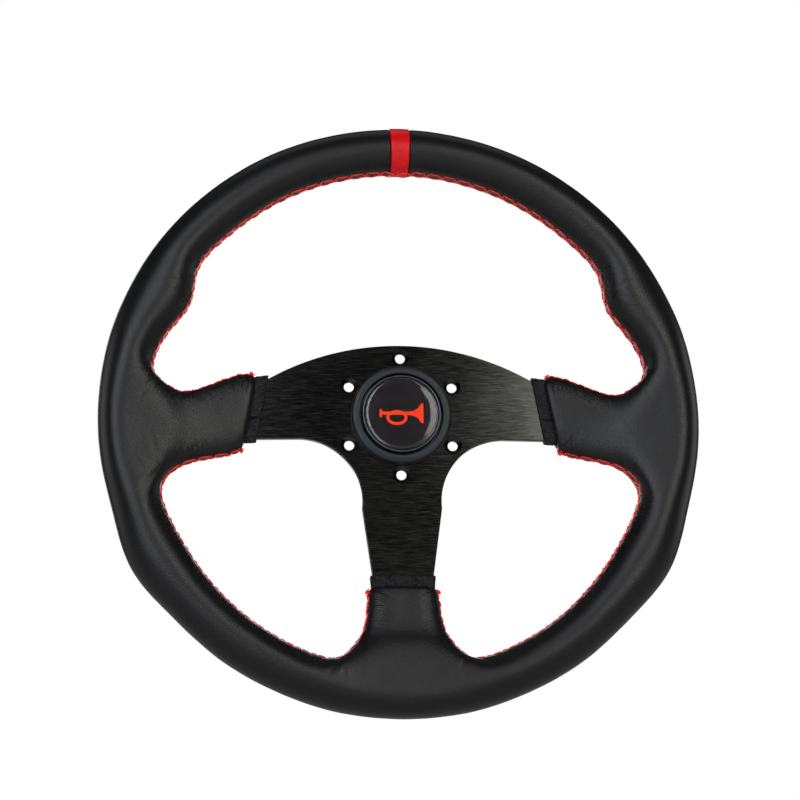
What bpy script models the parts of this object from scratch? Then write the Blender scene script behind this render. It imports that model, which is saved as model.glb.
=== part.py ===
"""Three-spoke sport steering wheel, 350 mm across, with a horn button in its hub.

Every piece is modelled in the wheel's own directions: X to the driver's right, Y up
towards 12 o'clock, and Z towards the driver, with Z = 0 at the back of the spoke plate.
One empty, wheel_axis, turns that into the part's frame, where +Z is up and the driver
looks along +Y.
"""

from math import asin, atan2, cos, degrees, pi, radians, sin

import bmesh
import bpy
from mathutils import Matrix, Vector

MM = 0.001
GAP = 0.3                       # between neighbouring pieces

# Rim: a grip wrapped round a ring, larger at the thumb rests and the lower hand grips.
RIM_MID = 10.3                  # height of the grip's middle above the plate's back
GRIP_DEPTH = 14.0               # half the grip's thickness, front to back
GRIP_CIRCLE = 161.0             # radius of the circle that the grip's middle follows
SECTION_POINTS = 6
# Angle clockwise from 12 o'clock, outer radius, inner radius.
RIM_STATIONS = [
    (0.0, 175.0, 147.0),
    (16.0, 175.0, 147.0),
    (31.0, 175.0, 147.0),
    (44.0, 175.0, 147.0),
    (54.0, 175.0, 146.3),
    (62.0, 175.0, 138.8),
    (71.0, 175.0, 143.3),
    (79.5, 175.0, 145.8),
    (89.0, 175.0, 147.0),
    (99.5, 175.0, 147.0),
    (109.5, 175.5, 145.6),
    (120.0, 179.0, 146.0),
    (130.0, 177.0, 146.5),
    (141.0, 176.2, 147.5),
    (152.0, 176.0, 148.0),
    (163.0, 176.0, 147.5),
    (171.5, 176.0, 148.0),
    (180.0, 176.0, 148.0),
]
SIDE_FLAP = (7, 10)             # stations that the side flap leaves from
BOTTOM_FLAP = (15, 17)
# Rows of the side flap, from the rim to its end: upper edge, lower edge, then the
# heights of its front, its edges and its back.
SIDE_ROWS = [
    ((136.5, 17.0), (131.5, -35.0), 18.5, 9.0, -3.7),
    ((125.0, 12.8), (119.0, -28.8), 15.0, 7.0, -3.7),
    ((108.0, 19.0), (106.0, -26.0), 12.0, 4.8, -3.8),
    ((92.0, 25.0), (95.0, -23.0), 10.0, 3.2, -3.9),
    ((84.0, 23.0), (90.8, -18.5), 8.7, 2.4, -3.9),
]
# Rows of the bottom flap: its right edge, then the same heights.
BOTTOM_ROWS = [
    ((31.5, -136.5), 18.5, 9.0, -3.7),
    ((24.5, -127.0), 15.0, 7.0, -3.7),
    ((21.8, -115.0), 12.0, 4.8, -3.8),
    ((21.0, -105.5), 10.0, 3.2, -3.9),
    ((18.8, -100.3), 8.7, 2.4, -3.9),
]
EDGE_DROP = 1.8                 # how far a flap's front falls beside its edges
SIDE_FRACTIONS = (0.1, 0.37, 0.63, 0.9)
BOTTOM_FRACTIONS = (0.0, 0.45, 0.84)
FIT_ROUNDS = 12

LEATHER = 1.3
THREAD_RADIUS = 0.6
THREAD_GAP = 1.6
MARKER_HALF_WIDTH = 5.7
MARKER_PROUD = 0.4
MARKER_WALL = 1.3

# Spoke plate: sheet aluminium with six countersunk holes on a 70 mm circle.
PLATE = 4.0
PLATE_CHAMFER = 0.5
PLATE_TOP = 42.5
TOP_ARC_RADIUS = 154.4
TOP_ARC_END = 84.0
FILLET_CENTRE = (60.0, -51.0)
FILLET_RADIUS = 36.9
SPOKE_END_HALF = 17.4           # half the lower spoke's width at its collar
NECK_Y = -96.5
NECK_HALF = 14.0                # half its width under the leather
PLATE_REACH = 165.0
HOLE_CIRCLE = 35.0
HOLE_COUNT = 6
HOLE_RADIUS = 2.9
SINK_RADIUS = 4.9
SINK_DEPTH = 2.4
HUB_BORE = 26.4

# Hoop: a flat ring riveted to the front of the spokes' ends.
HOOP_INNER = 155.5
HOOP_OUTER = 166.5
HOOP_BACK = PLATE + GAP
HOOP_FRONT = HOOP_BACK + 6.0
RIVET_ANGLES = (90.0, 97.0, 176.5, 183.5, 263.0, 270.0)
RIVET_RADIUS = 1.9

# Horn button: its heights are measured like the rest, from the plate's back.
BEZEL = 29.4
HOUSING_MOUTH = 24.1
HOUSING_BORE = 24.9
HOUSING_WALL = 25.9
LEDGE_BORE = 20.0
LEDGE_TOP = -6.5
HOUSING_BACK = -10.5
BASE_TOP = -8.0                 # the base's middle, which the spring stands on
STOP_TOP = 2.2                  # top of the cap's lip, which stops under the mouth
CAP_RADIUS = 23.0
CAP_UNDER = 7.4                 # underside of the cap, which the spring pushes on
CAP_FACE = 8.8                  # floor of the recess that holds the emblem
CONTACT = 0.6
FIXED_TOP = -7.1
TRAVEL = 2.5
SLEEVE_END = FIXED_TOP + TRAVEL + 0.1 + CONTACT + GAP
TERMINAL_X = 15.5
SPRING_RADIUS = 6.5
SPRING_WIRE = 0.55
SPRING_TURNS = 5
SCREW_CIRCLE = 22.9
TURN_STEPS = 36
HOOP_STEPS = 48


def start_empty():
    """Remove what the scene holds, and make the two collections and the parent."""
    for obj in list(bpy.data.objects):
        bpy.data.objects.remove(obj, do_unlink=True)
    parts = bpy.data.collections.new("steering_wheel")
    cutters = bpy.data.collections.new("cutters")
    bpy.context.scene.collection.children.link(parts)
    bpy.context.scene.collection.children.link(cutters)
    axis = bpy.data.objects.new("wheel_axis", None)
    axis.rotation_euler = (radians(90.0), 0.0, 0.0)
    parts.objects.link(axis)
    return parts, cutters, axis


def metal(name, colour, roughness, metallic=1.0):
    """A material with one plain finish."""
    material = bpy.data.materials.new(name)
    material.use_nodes = True
    shader = material.node_tree.nodes["Principled BSDF"]
    shader.inputs["Base Color"].default_value = (*colour, 1.0)
    shader.inputs["Roughness"].default_value = roughness
    shader.inputs["Metallic"].default_value = metallic
    material.diffuse_color = (*colour, 1.0)
    return material


def plain(name, colour, roughness):
    return metal(name, colour, roughness, 0.0)


def add_object(name, data, material=None, round_sides=True):
    """Put a mesh or curve among the parts, under the wheel's axis."""
    obj = bpy.data.objects.new(name, data)
    obj.parent = AXIS
    PARTS.objects.link(obj)
    if material:
        data.materials.append(material)
    if round_sides and isinstance(data, bpy.types.Mesh):
        data.shade_smooth()
        data.set_sharp_from_angle(angle=radians(35.0))
    return obj


def as_cutter(obj):
    """Keep an object only as a tool for Boolean modifiers."""
    PARTS.objects.unlink(obj)
    CUTTERS.objects.link(obj)
    obj.hide_render = True
    obj.display_type = "WIRE"
    return obj


def evaluated_mesh(obj):
    """The object's mesh with its modifiers worked out, its loose caps welded."""
    bpy.context.view_layer.update()
    seen = obj.evaluated_get(bpy.context.evaluated_depsgraph_get())
    mesh = bpy.data.meshes.new_from_object(seen)
    bm = bmesh.new()
    bm.from_mesh(mesh)
    bmesh.ops.remove_doubles(bm, verts=bm.verts, dist=0.00001)
    bm.to_mesh(mesh)
    bm.free()
    return mesh


def to_mesh_object(obj):
    """Replace a curve or a modified object by a plain mesh object of the same name."""
    mesh = evaluated_mesh(obj)
    name = obj.name
    matrix = obj.matrix_world.copy()
    bpy.data.objects.remove(obj, do_unlink=True)
    fresh = add_object(name, mesh)
    fresh.matrix_world = matrix
    return fresh


def cut(obj, cutter):
    step = obj.modifiers.new("cut_" + cutter.name, "BOOLEAN")
    step.operation = "DIFFERENCE"
    step.object = cutter
    return step


def vector(x, y, z):
    return Vector((x, y, z)) * MM


def turned(name, profile, material=None, steps=TURN_STEPS):
    """Turn a profile of (radius, height) points round the wheel's axis.

    A profile that starts and ends on the axis makes a solid, and any other is closed
    into a ring. Both run down their outer side.
    """
    mesh = bpy.data.meshes.new(name)
    points = [vector(radius, 0.0, height) for radius, height in profile]
    edges = [(i, i + 1) for i in range(len(points) - 1)]
    if profile[0][0] > 0.0:
        edges.append((len(points) - 1, 0))
    mesh.from_pydata(points, edges, [])
    obj = add_object(name, mesh, material)
    screw = obj.modifiers.new("turn", "SCREW")
    screw.axis = "Z"
    screw.steps = steps
    screw.render_steps = steps
    screw.use_merge_vertices = True
    screw.merge_threshold = 0.00001
    screw.use_smooth_shade = True
    return obj


def outline(name, points, back, front, material=None, grow=0.0, holes=()):
    """A flat outline filled and extruded from one height to another."""
    curve = bpy.data.curves.new(name, "CURVE")
    curve.dimensions = "2D"
    curve.fill_mode = "BOTH"
    curve.extrude = (front - back) / 2.0 * MM
    curve.offset = grow * MM
    for loop in (points, *holes):
        spline = curve.splines.new("POLY")
        spline.points.add(len(loop) - 1)
        for point, (x, y) in zip(spline.points, loop):
            point.co = (x * MM, y * MM, 0.0, 1.0)
        spline.use_cyclic_u = True
    obj = add_object(name, curve, material)
    obj.location.z = (front + back) / 2.0 * MM
    return obj


def box(name, centre, size, material=None):
    """A block given by its middle and its three lengths."""
    bpy.ops.mesh.primitive_cube_add(size=1.0)
    obj = bpy.context.object
    obj.name = name
    for collection in list(obj.users_collection):
        collection.objects.unlink(obj)
    PARTS.objects.link(obj)
    obj.data.transform(Matrix.Diagonal((*(side * MM for side in size), 1.0)))
    obj.parent = AXIS
    obj.location = vector(*centre)
    if material:
        obj.data.materials.append(material)
    return obj


def arc(centre, radius, start, end, count):
    """Points along an arc, by angles in degrees from +X towards +Y."""
    points = []
    for i in range(count + 1):
        angle = radians(start + (end - start) * i / count)
        points.append((centre[0] + radius * cos(angle), centre[1] + radius * sin(angle)))
    return points


def mirrored(points):
    return [(-x, y) for x, y in reversed(points)]


def clock(angle, radius):
    """A point at an angle in degrees clockwise from 12 o'clock."""
    return radius * sin(radians(angle)), radius * cos(radians(angle))


# ---- grip ---------------------------------------------------------------------------


def section(angle, outer, inner):
    """Points round the grip's section, from its outer side over its front."""
    middle = (outer + inner) / 2.0
    half = (outer - inner) / 2.0
    points = []
    for k in range(SECTION_POINTS):
        turn = 2.0 * pi * k / SECTION_POINTS
        x, y = clock(angle, middle + half * cos(turn))
        points.append(vector(x, y, RIM_MID + GRIP_DEPTH * sin(turn)))
    return points


def side_row(upper, lower, front, edge, back):
    """One closed loop round the side flap, from its upper edge over its front."""
    a = Vector(upper)
    b = Vector(lower)
    loop = [vector(*a, edge)]
    for fraction in SIDE_FRACTIONS:
        drop = EDGE_DROP if fraction in (SIDE_FRACTIONS[0], SIDE_FRACTIONS[-1]) else 0.0
        loop.append(vector(*a.lerp(b, fraction), front - drop))
    loop.append(vector(*b, edge))
    for fraction in reversed(SIDE_FRACTIONS):
        drop = EDGE_DROP if fraction in (SIDE_FRACTIONS[0], SIDE_FRACTIONS[-1]) else 0.0
        loop.append(vector(*a.lerp(b, fraction), back + drop / 2.0))
    return loop


def bottom_row(corner, front, edge, back):
    """Half a loop round the bottom flap, from the middle of its front."""
    x, y = corner
    half = []
    for fraction in BOTTOM_FRACTIONS:
        drop = EDGE_DROP if fraction == BOTTOM_FRACTIONS[-1] else 0.0
        half.append((fraction * x, drop))
    loop = [vector(px, y, front - drop) for px, drop in half]
    loop.append(vector(x, y, edge))
    loop += [vector(px, y, back + drop / 2.0) for px, drop in reversed(half)]
    return loop


def bridge(bm, first, second, closed):
    """Quads between two rows of as many points."""
    count = len(first) if closed else len(first) - 1
    for i in range(count):
        j = (i + 1) % len(first)
        bm.faces.new((first[i], first[j], second[j], second[i]))


def half_grip_cage():
    """The right half of the grip's surface, open at the flaps' ends."""
    bm = bmesh.new()
    rings = [[bm.verts.new(p) for p in section(*station)] for station in RIM_STATIONS]
    open_spans = (range(*SIDE_FLAP), range(*BOTTOM_FLAP))
    for i, (ring, after) in enumerate(zip(rings, rings[1:])):
        in_flap = any(i in span for span in open_spans)
        for k in range(SECTION_POINTS):
            if in_flap and k in (2, 3):
                continue
            j = (k + 1) % SECTION_POINTS
            bm.faces.new((ring[k], ring[j], after[j], after[k]))

    first, last = SIDE_FLAP
    columns = range(first, last + 1)
    row = [rings[first][3]] + [rings[i][2] for i in columns]
    row += [rings[last][3]] + [rings[i][4] for i in reversed(columns)]
    for values in SIDE_ROWS:
        after = [bm.verts.new(p) for p in side_row(*values)]
        bridge(bm, row, after, True)
        row = after

    first, last = BOTTOM_FLAP
    columns = range(last, first - 1, -1)
    row = [rings[i][2] for i in columns] + [rings[first][3]]
    row += [rings[i][4] for i in reversed(columns)]
    for values in BOTTOM_ROWS:
        after = [bm.verts.new(p) for p in bottom_row(*values)]
        bridge(bm, row, after, False)
        row = after

    loose = [v for v in bm.verts if not v.link_faces]
    bmesh.ops.delete(bm, geom=loose, context="VERTS")
    mesh = bpy.data.meshes.new("half_grip")
    bm.to_mesh(mesh)
    bm.free()
    return mesh


def limit_point(vert):
    """Where a cage point ends up on the smooth surface."""
    if vert.is_boundary:
        ends = [e.other_vert(vert).co for e in vert.link_edges if e.is_boundary]
        return (4.0 * vert.co + ends[0] + ends[1]) / 6.0
    count = len(vert.link_edges)
    near = sum((e.other_vert(vert).co for e in vert.link_edges), Vector())
    beside = {e.other_vert(vert) for e in vert.link_edges} | {vert}
    across = sum((v.co for f in vert.link_faces for v in f.verts if v not in beside),
                 Vector())
    return (count * count * vert.co + 4.0 * near + across) / (count * (count + 5))


def grip_skin():
    """The whole grip's smooth surface, which passes through the points given above."""
    half = add_object("half_grip", half_grip_cage())
    mirror = half.modifiers.new("mirror", "MIRROR")
    mirror.use_clip = True
    mirror.merge_threshold = 0.0001
    mesh = evaluated_mesh(half)
    bpy.data.objects.remove(half, do_unlink=True)
    bm = bmesh.new()
    bm.from_mesh(mesh)
    bmesh.ops.recalc_face_normals(bm, faces=bm.faces)
    widest = max(bm.faces, key=lambda face: face.calc_center_median().length)
    if widest.normal.dot(widest.calc_center_median()) < 0.0:
        bmesh.ops.reverse_faces(bm, faces=bm.faces)
    targets = [v.co.copy() for v in bm.verts]
    for _ in range(FIT_ROUNDS):
        limits = [limit_point(v) for v in bm.verts]
        for vert, target, limit in zip(bm.verts, targets, limits):
            vert.co += target - limit
    bm.to_mesh(mesh)
    bm.free()
    cage = add_object("grip_skin", mesh)
    smooth = cage.modifiers.new("smooth", "SUBSURF")
    smooth.levels = 1
    smooth.render_levels = 1
    return to_mesh_object(cage)


def leather_wrap(skin, material):
    """The leather: a 1.3 mm shell, open at the marker and at the flaps' ends."""
    mesh = skin.data.copy()
    bm = bmesh.new()
    bm.from_mesh(mesh)
    end = (MARKER_HALF_WIDTH + GAP) / GRIP_CIRCLE
    for angle in (-end, end):
        near = [f for f in bm.faces if f.calc_center_median().y > 0.1]
        geom = near + list({e for f in near for e in f.edges})
        geom += list({v for f in near for v in f.verts})
        bmesh.ops.bisect_plane(bm, geom=geom, plane_co=(0.0, 0.0, 0.0),
                               plane_no=(cos(angle), -sin(angle), 0.0))
    at_marker = []
    for face in bm.faces:
        middle = face.calc_center_median()
        if middle.y > 0.1 and abs(atan2(middle.x, middle.y)) < end:
            at_marker.append(face)
    bmesh.ops.delete(bm, geom=at_marker, context="FACES")
    bm.to_mesh(mesh)
    bm.free()
    obj = add_object("leather_wrap", mesh, material)
    wall = obj.modifiers.new("thickness", "SOLIDIFY")
    wall.thickness = LEATHER * MM
    wall.offset = -1.0
    return obj


def rim_foam(skin, hoop_space, plate_space, rivet_spaces, material):
    """The foam inside the leather, with the space that the hoop and the spokes fill."""
    mesh = skin.data.copy()
    bm = bmesh.new()
    bm.from_mesh(mesh)
    bm.normal_update()
    inward = [v.normal * (LEATHER + GAP + 0.1) * MM for v in bm.verts]
    for vert, step in zip(bm.verts, inward):
        vert.co -= step
    bmesh.ops.holes_fill(bm, edges=bm.edges, sides=0)
    bmesh.ops.recalc_face_normals(bm, faces=bm.faces)
    bm.to_mesh(mesh)
    bm.free()
    obj = add_object("rim_foam", mesh, material)
    for cutter in (hoop_space, plate_space, *rivet_spaces):
        cut(obj, cutter)
    return obj


def centre_marker(material):
    """The red band at 12 o'clock, standing slightly proud between the leather's ends."""
    curve = bpy.data.curves.new("centre_marker", "CURVE")
    curve.dimensions = "3D"
    reach = degrees(MARKER_HALF_WIDTH / GRIP_CIRCLE)
    spline = curve.splines.new("POLY")
    steps = 4
    spline.points.add(steps)
    for i, point in enumerate(spline.points):
        x, y = clock(reach * (2.0 * i / steps - 1.0), GRIP_CIRCLE)
        point.co = (x * MM, y * MM, RIM_MID * MM, 1.0)
    curve.bevel_depth = (GRIP_DEPTH + MARKER_PROUD) * MM
    curve.bevel_resolution = 6
    band = to_mesh_object(add_object("centre_marker", curve))
    band.data.materials.append(material)
    wall = band.modifiers.new("thickness", "SOLIDIFY")
    wall.thickness = MARKER_WALL * MM
    wall.offset = -1.0
    return band


def seam_thread(name, points, inside, closed_ends, material):
    """A round thread just off the leather, along the inner side of one opening."""
    curve = bpy.data.curves.new(name, "CURVE")
    curve.dimensions = "3D"
    spline = curve.splines.new("BEZIER")
    spline.resolution_u = 4
    spline.bezier_points.add(len(points) - 1)
    for i, knot in enumerate(spline.bezier_points):
        before = Vector(points[max(i - 1, 0)])
        after = Vector(points[min(i + 1, len(points) - 1)])
        along = after - before
        off = Vector((along.y, -along.x, 0.0)).normalized()
        if off.dot(Vector(inside) - Vector(points[i])) < 0.0:
            off = -off
        knot.co = (Vector(points[i]) + off * (THREAD_GAP + THREAD_RADIUS)) * MM
        knot.handle_left_type = "AUTO"
        knot.handle_right_type = "AUTO"
    curve.bevel_depth = THREAD_RADIUS * MM
    curve.bevel_resolution = 1
    curve.use_fill_caps = closed_ends
    return add_object(name, curve, material)


def rim_edge(first, last):
    """The grip's innermost points between two stations."""
    points = []
    for angle, _, inner in RIM_STATIONS[first:last + 1]:
        x, y = clock(angle, inner)
        points.append((x, y, RIM_MID))
    return points


def seams(material):
    """Thread along the upper opening and the two lower ones."""
    upper_edge = [(*row[0], row[3]) for row in SIDE_ROWS[:4]]
    right = rim_edge(0, SIDE_FLAP[0]) + upper_edge
    left = [(-x, y, z) for x, y, z in reversed(right[1:])]
    seam_thread("seam_thread_upper", left + right, (0.0, 60.0, RIM_MID), True, material)
    lower_edge = [(*row[1], row[3]) for row in reversed(SIDE_ROWS[:4])]
    bottom_edge = [(*row[0], row[2]) for row in BOTTOM_ROWS[:4]]
    right = lower_edge + rim_edge(SIDE_FLAP[1], BOTTOM_FLAP[0]) + bottom_edge
    left = [(-x, y, z) for x, y, z in right]
    middle = (70.0, -80.0, RIM_MID)
    seam_thread("seam_thread_lower_right", right, middle, True, material)
    middle = (-70.0, -80.0, RIM_MID)
    seam_thread("seam_thread_lower_left", left, middle, True, material)


# ---- spokes and hoop ----------------------------------------------------------------


def plate_points():
    """The spoke plate's outline, from the top middle clockwise."""
    top_centre = (0.0, PLATE_TOP - TOP_ARC_RADIUS)
    sweep = degrees(asin(TOP_ARC_END / TOP_ARC_RADIUS))
    half = arc(top_centre, TOP_ARC_RADIUS, 90.0, 90.0 - sweep, 10)
    half += [(120.0, 6.0), (150.0, 3.0)]
    half += arc((0.0, 0.0), PLATE_REACH, 1.0, -8.0, 3)
    half += [(120.0, -21.5), (92.0, -14.6)]
    half += arc(FILLET_CENTRE, FILLET_RADIUS, 90.0, 186.0, 10)
    half += [(SPOKE_END_HALF, NECK_Y), (NECK_HALF, NECK_Y - 2.0)]
    half += arc((0.0, 0.0), PLATE_REACH, -85.0, -90.0, 2)
    return half + mirrored(half)[1:-1]


def spoke_plate(material):
    """The plate with its bore, its six countersunk holes and its rivet holes."""
    flat = outline("spoke_plate", plate_points(), 0.0, PLATE)
    plate = to_mesh_object(flat)
    plate.data.materials.append(material)
    edges = plate.modifiers.new("edges", "BEVEL")
    edges.width = PLATE_CHAMFER * MM
    edges.segments = 1
    edges.limit_method = "ANGLE"
    edges.angle_limit = radians(60.0)
    cut(plate, as_cutter(turned("hub_bore", [(0.0, 9.0), (HUB_BORE, 9.0),
                                             (HUB_BORE, -5.0), (0.0, -5.0)])))
    sink = [(0.0, PLATE + 1.0), (SINK_RADIUS, PLATE + 1.0), (SINK_RADIUS, PLATE - 0.4),
            (HOLE_RADIUS, PLATE - SINK_DEPTH), (HOLE_RADIUS, -1.0), (0.0, -1.0)]
    for i in range(HOLE_COUNT):
        hole = turned(f"bolt_hole_{i + 1}", sink, steps=18)
        x, y = clock(360.0 * i / HOLE_COUNT, HOLE_CIRCLE)
        hole.location = vector(x, y, 0.0)
        cut(plate, as_cutter(hole))
    bore = RIVET_RADIUS + GAP
    seat = [(0.0, PLATE + 9.0), (bore, PLATE + 9.0), (bore, 1.4), (3.4, 0.0),
            (3.4, -1.0), (0.0, -1.0)]
    for i, angle in enumerate(RIVET_ANGLES):
        hole = turned(f"rivet_hole_{i + 1}", seat, steps=12)
        x, y = clock(angle, GRIP_CIRCLE)
        hole.location = vector(x, y, 0.0)
        cut(plate, as_cutter(hole))
    return plate


def rim_hoop(material):
    """The flat ring inside the grip, with a hole for each rivet."""
    hoop = turned("rim_hoop", [(HOOP_OUTER, HOOP_FRONT), (HOOP_OUTER, HOOP_BACK),
                               (HOOP_INNER, HOOP_BACK), (HOOP_INNER, HOOP_FRONT)],
                  material, steps=HOOP_STEPS)
    for i in range(len(RIVET_ANGLES)):
        cut(hoop, bpy.data.objects[f"rivet_hole_{i + 1}"])
    return hoop


def hoop_rivets(material):
    """Six rivets with a round head on the hoop and a flush end in the plate."""
    head = HOOP_FRONT + GAP
    profile = [(0.0, head + 1.3), (2.0, head + 1.1), (3.8, head), (RIVET_RADIUS, head),
               (RIVET_RADIUS, 1.5), (3.0, 0.2), (0.0, 0.2)]
    for i, angle in enumerate(RIVET_ANGLES):
        rivet = turned(f"hoop_rivet_{i + 1}", profile, material, steps=12)
        x, y = clock(angle, GRIP_CIRCLE)
        rivet.location = vector(x, y, 0.0)


def foam_spaces():
    """Cutters that leave the hoop, the spokes and the rivets their room."""
    hoop = turned("hoop_space", [(HOOP_OUTER + GAP, HOOP_FRONT + GAP),
                                 (HOOP_OUTER + GAP, HOOP_BACK - 2.0 * GAP),
                                 (HOOP_INNER - GAP, HOOP_BACK - 2.0 * GAP),
                                 (HOOP_INNER - GAP, HOOP_FRONT + GAP)], steps=HOOP_STEPS)
    flat = outline("plate_space", plate_points(), -GAP, PLATE + GAP, grow=GAP)
    plate = to_mesh_object(flat)
    rivets = []
    for i, angle in enumerate(RIVET_ANGLES):
        rivet = turned(f"rivet_space_{i + 1}", [(0.0, HOOP_FRONT + 2.0),
                                                (4.2, HOOP_FRONT + 2.0),
                                                (4.2, PLATE + 1.0),
                                                (0.0, PLATE + 1.0)], steps=12)
        x, y = clock(angle, GRIP_CIRCLE)
        rivet.location = vector(x, y, 0.0)
        rivets.append(as_cutter(rivet))
    return as_cutter(hoop), as_cutter(plate), rivets


def collars(plate_space, material):
    """A wrapped strip round each spoke, where the leather ends."""
    right = [(77.3, 23.6), (83.0, 23.6), (89.6, -16.2), (84.4, -16.2)]
    shapes = {
        "collar_right": right,
        "collar_left": mirrored(right),
        "collar_bottom": [(-18.8, -94.2), (18.8, -94.2), (18.8, -99.2), (-18.8, -99.2)],
    }
    for name, points in shapes.items():
        strip = to_mesh_object(outline(name, points, -1.6, PLATE + 1.6))
        strip.data.materials.append(material)
        soft = strip.modifiers.new("edges", "BEVEL")
        soft.width = 0.5 * MM
        soft.segments = 1
        cut(strip, plate_space)


# ---- horn button --------------------------------------------------------------------


def horn_housing(material):
    """Bezel and cup in one moulding, with a ledge inside for the base."""
    seat = PLATE + GAP
    mouth = STOP_TOP + GAP
    profile = [
        (24.7, 9.3), (26.5, 9.3), (28.4, 8.9), (29.2, 8.0), (BEZEL, 6.8),
        (BEZEL, seat), (HOUSING_WALL, seat), (HOUSING_WALL, HOUSING_BACK),
        (LEDGE_BORE, HOUSING_BACK), (LEDGE_BORE, LEDGE_TOP), (HOUSING_BORE, LEDGE_TOP),
        (HOUSING_BORE, mouth), (HOUSING_MOUTH, mouth), (HOUSING_MOUTH, 8.8),
    ]
    housing = turned("horn_housing", profile, material)
    for i in range(3):
        x, y = clock(60.0 + 120.0 * i, SCREW_CIRCLE)
        hole = turned(f"screw_hole_{i + 1}", [(0.0, -7.0), (1.5, -7.0), (1.5, -15.0),
                                              (0.0, -15.0)], steps=12)
        hole.location = vector(x, y, 0.0)
        cut(housing, as_cutter(hole))


def contact_base(material):
    """The insulating disc that closes the cup's back."""
    flange = HOUSING_BACK - GAP
    rise = LEDGE_BORE - 2.0 * GAP
    profile = [(0.0, BASE_TOP), (rise, BASE_TOP), (rise, flange), (HOUSING_WALL, flange),
               (HOUSING_WALL, -13.3), (0.0, -13.3)]
    base = turned("contact_base", profile, material)
    for i in range(3):
        cut(base, bpy.data.objects[f"screw_hole_{i + 1}"])
    for side, name in ((-1.0, "slot_left"), (1.0, "slot_right")):
        slot = box(name, (TERMINAL_X * side, 0.0, -10.0), (1.4, 6.9, 8.0))
        cut(base, as_cutter(slot))


def base_screws(material):
    """Three screws from the base's back into the housing's ledge."""
    profile = [(0.0, -7.6), (1.1, -7.6), (1.1, -13.6), (2.2, -13.6), (2.2, -14.4),
               (1.6, -14.9), (0.0, -14.9)]
    for i in range(3):
        screw = turned(f"base_screw_{i + 1}", profile, material, steps=12)
        x, y = clock(60.0 + 120.0 * i, SCREW_CIRCLE)
        screw.location = vector(x, y, 0.0)


def terminals(material):
    """Two 6.3 mm blade terminals that stick out of the base's back."""
    shape = [(-3.15, -8.4), (3.15, -8.4), (3.15, -20.6), (2.0, -22.0), (-2.0, -22.0),
             (-3.15, -20.6)]
    hole = arc((0.0, -18.0), 0.85, 0.0, 315.0, 7)
    for side, name in ((-1.0, "terminal_left"), (1.0, "terminal_right")):
        blade = outline(name, shape, -0.4, 0.4, material, holes=(hole,))
        blade.rotation_euler = (radians(90.0), 0.0, radians(90.0))
        blade.location = vector(TERMINAL_X * side, 0.0, 0.0)


def housing_clips(material):
    """Three spring strips that hold the housing against the plate's back."""
    path = [(26.7, -9.0), (26.7, -3.6), (27.1, -1.6), (27.9, -0.8), (29.2, -0.8)]
    half_width = 4.0
    for i in range(3):
        name = f"housing_clip_{i + 1}"
        bm = bmesh.new()
        rows = [[bm.verts.new(vector(radius, across, height)) for radius, height in path]
                for across in (-half_width, half_width)]
        bridge(bm, rows[0], rows[1], False)
        mesh = bpy.data.meshes.new(name)
        bm.to_mesh(mesh)
        bm.free()
        clip = add_object(name, mesh, material)
        clip.rotation_euler = (0.0, 0.0, radians(90.0 + 120.0 * i))
        wall = clip.modifiers.new("thickness", "SOLIDIFY")
        wall.thickness = 0.7 * MM
        wall.offset = 0.0


def horn_cap(material):
    """The button: a cap with a stop lip, and a sleeve that carries its contact."""
    lip = STOP_TOP - 2.0
    profile = [
        (0.0, CAP_FACE), (21.9, CAP_FACE), (21.9, 10.0), (22.2, 10.3), (22.7, 10.3),
        (CAP_RADIUS, 9.9), (CAP_RADIUS, STOP_TOP), (24.5, STOP_TOP), (24.5, lip),
        (21.8, lip), (21.8, CAP_UNDER), (12.0, CAP_UNDER), (12.0, SLEEVE_END),
        (10.0, SLEEVE_END), (10.0, CAP_UNDER), (0.0, CAP_UNDER),
    ]
    turned("horn_cap", profile, material)


def button_face(metal_finish, clear):
    """The emblem disc in the cap's recess and the clear dome over it."""
    back = CAP_FACE + GAP
    front = back + 0.4
    turned("emblem_disc", [(0.0, front), (21.6, front), (21.6, back), (0.0, back)],
           metal_finish)
    base = front + GAP
    turned("resin_dome", [(0.0, 12.6), (10.0, 12.4), (17.0, 11.9), (20.0, 11.3),
                          (21.2, 10.5), (21.5, base), (0.0, base)], clear)


def contacts(material):
    """The ring that moves with the cap, and the ring that it meets when pressed."""
    top = SLEEVE_END - GAP
    bottom = top - CONTACT
    turned("moving_contact", [(15.0, top), (15.0, bottom), (10.0, bottom), (10.0, top)],
           material)
    top = FIXED_TOP
    bottom = top - CONTACT
    turned("fixed_contact", [(18.5, top), (18.5, bottom), (10.0, bottom), (10.0, top)],
           material)


def return_spring(material):
    """A compression spring between the base and the cap."""
    curve = bpy.data.curves.new("return_spring", "CURVE")
    curve.dimensions = "3D"
    low = BASE_TOP + GAP + SPRING_WIRE
    high = CAP_UNDER - GAP - SPRING_WIRE
    steps = SPRING_TURNS * 10
    spline = curve.splines.new("POLY")
    spline.points.add(steps)
    for i, point in enumerate(spline.points):
        turn = 2.0 * pi * SPRING_TURNS * i / steps
        height = low + (high - low) * i / steps
        point.co = (SPRING_RADIUS * cos(turn) * MM, SPRING_RADIUS * sin(turn) * MM,
                    height * MM, 1.0)
    curve.bevel_depth = SPRING_WIRE * MM
    curve.bevel_resolution = 2
    curve.use_fill_caps = True
    add_object("return_spring", curve, material)


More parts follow.
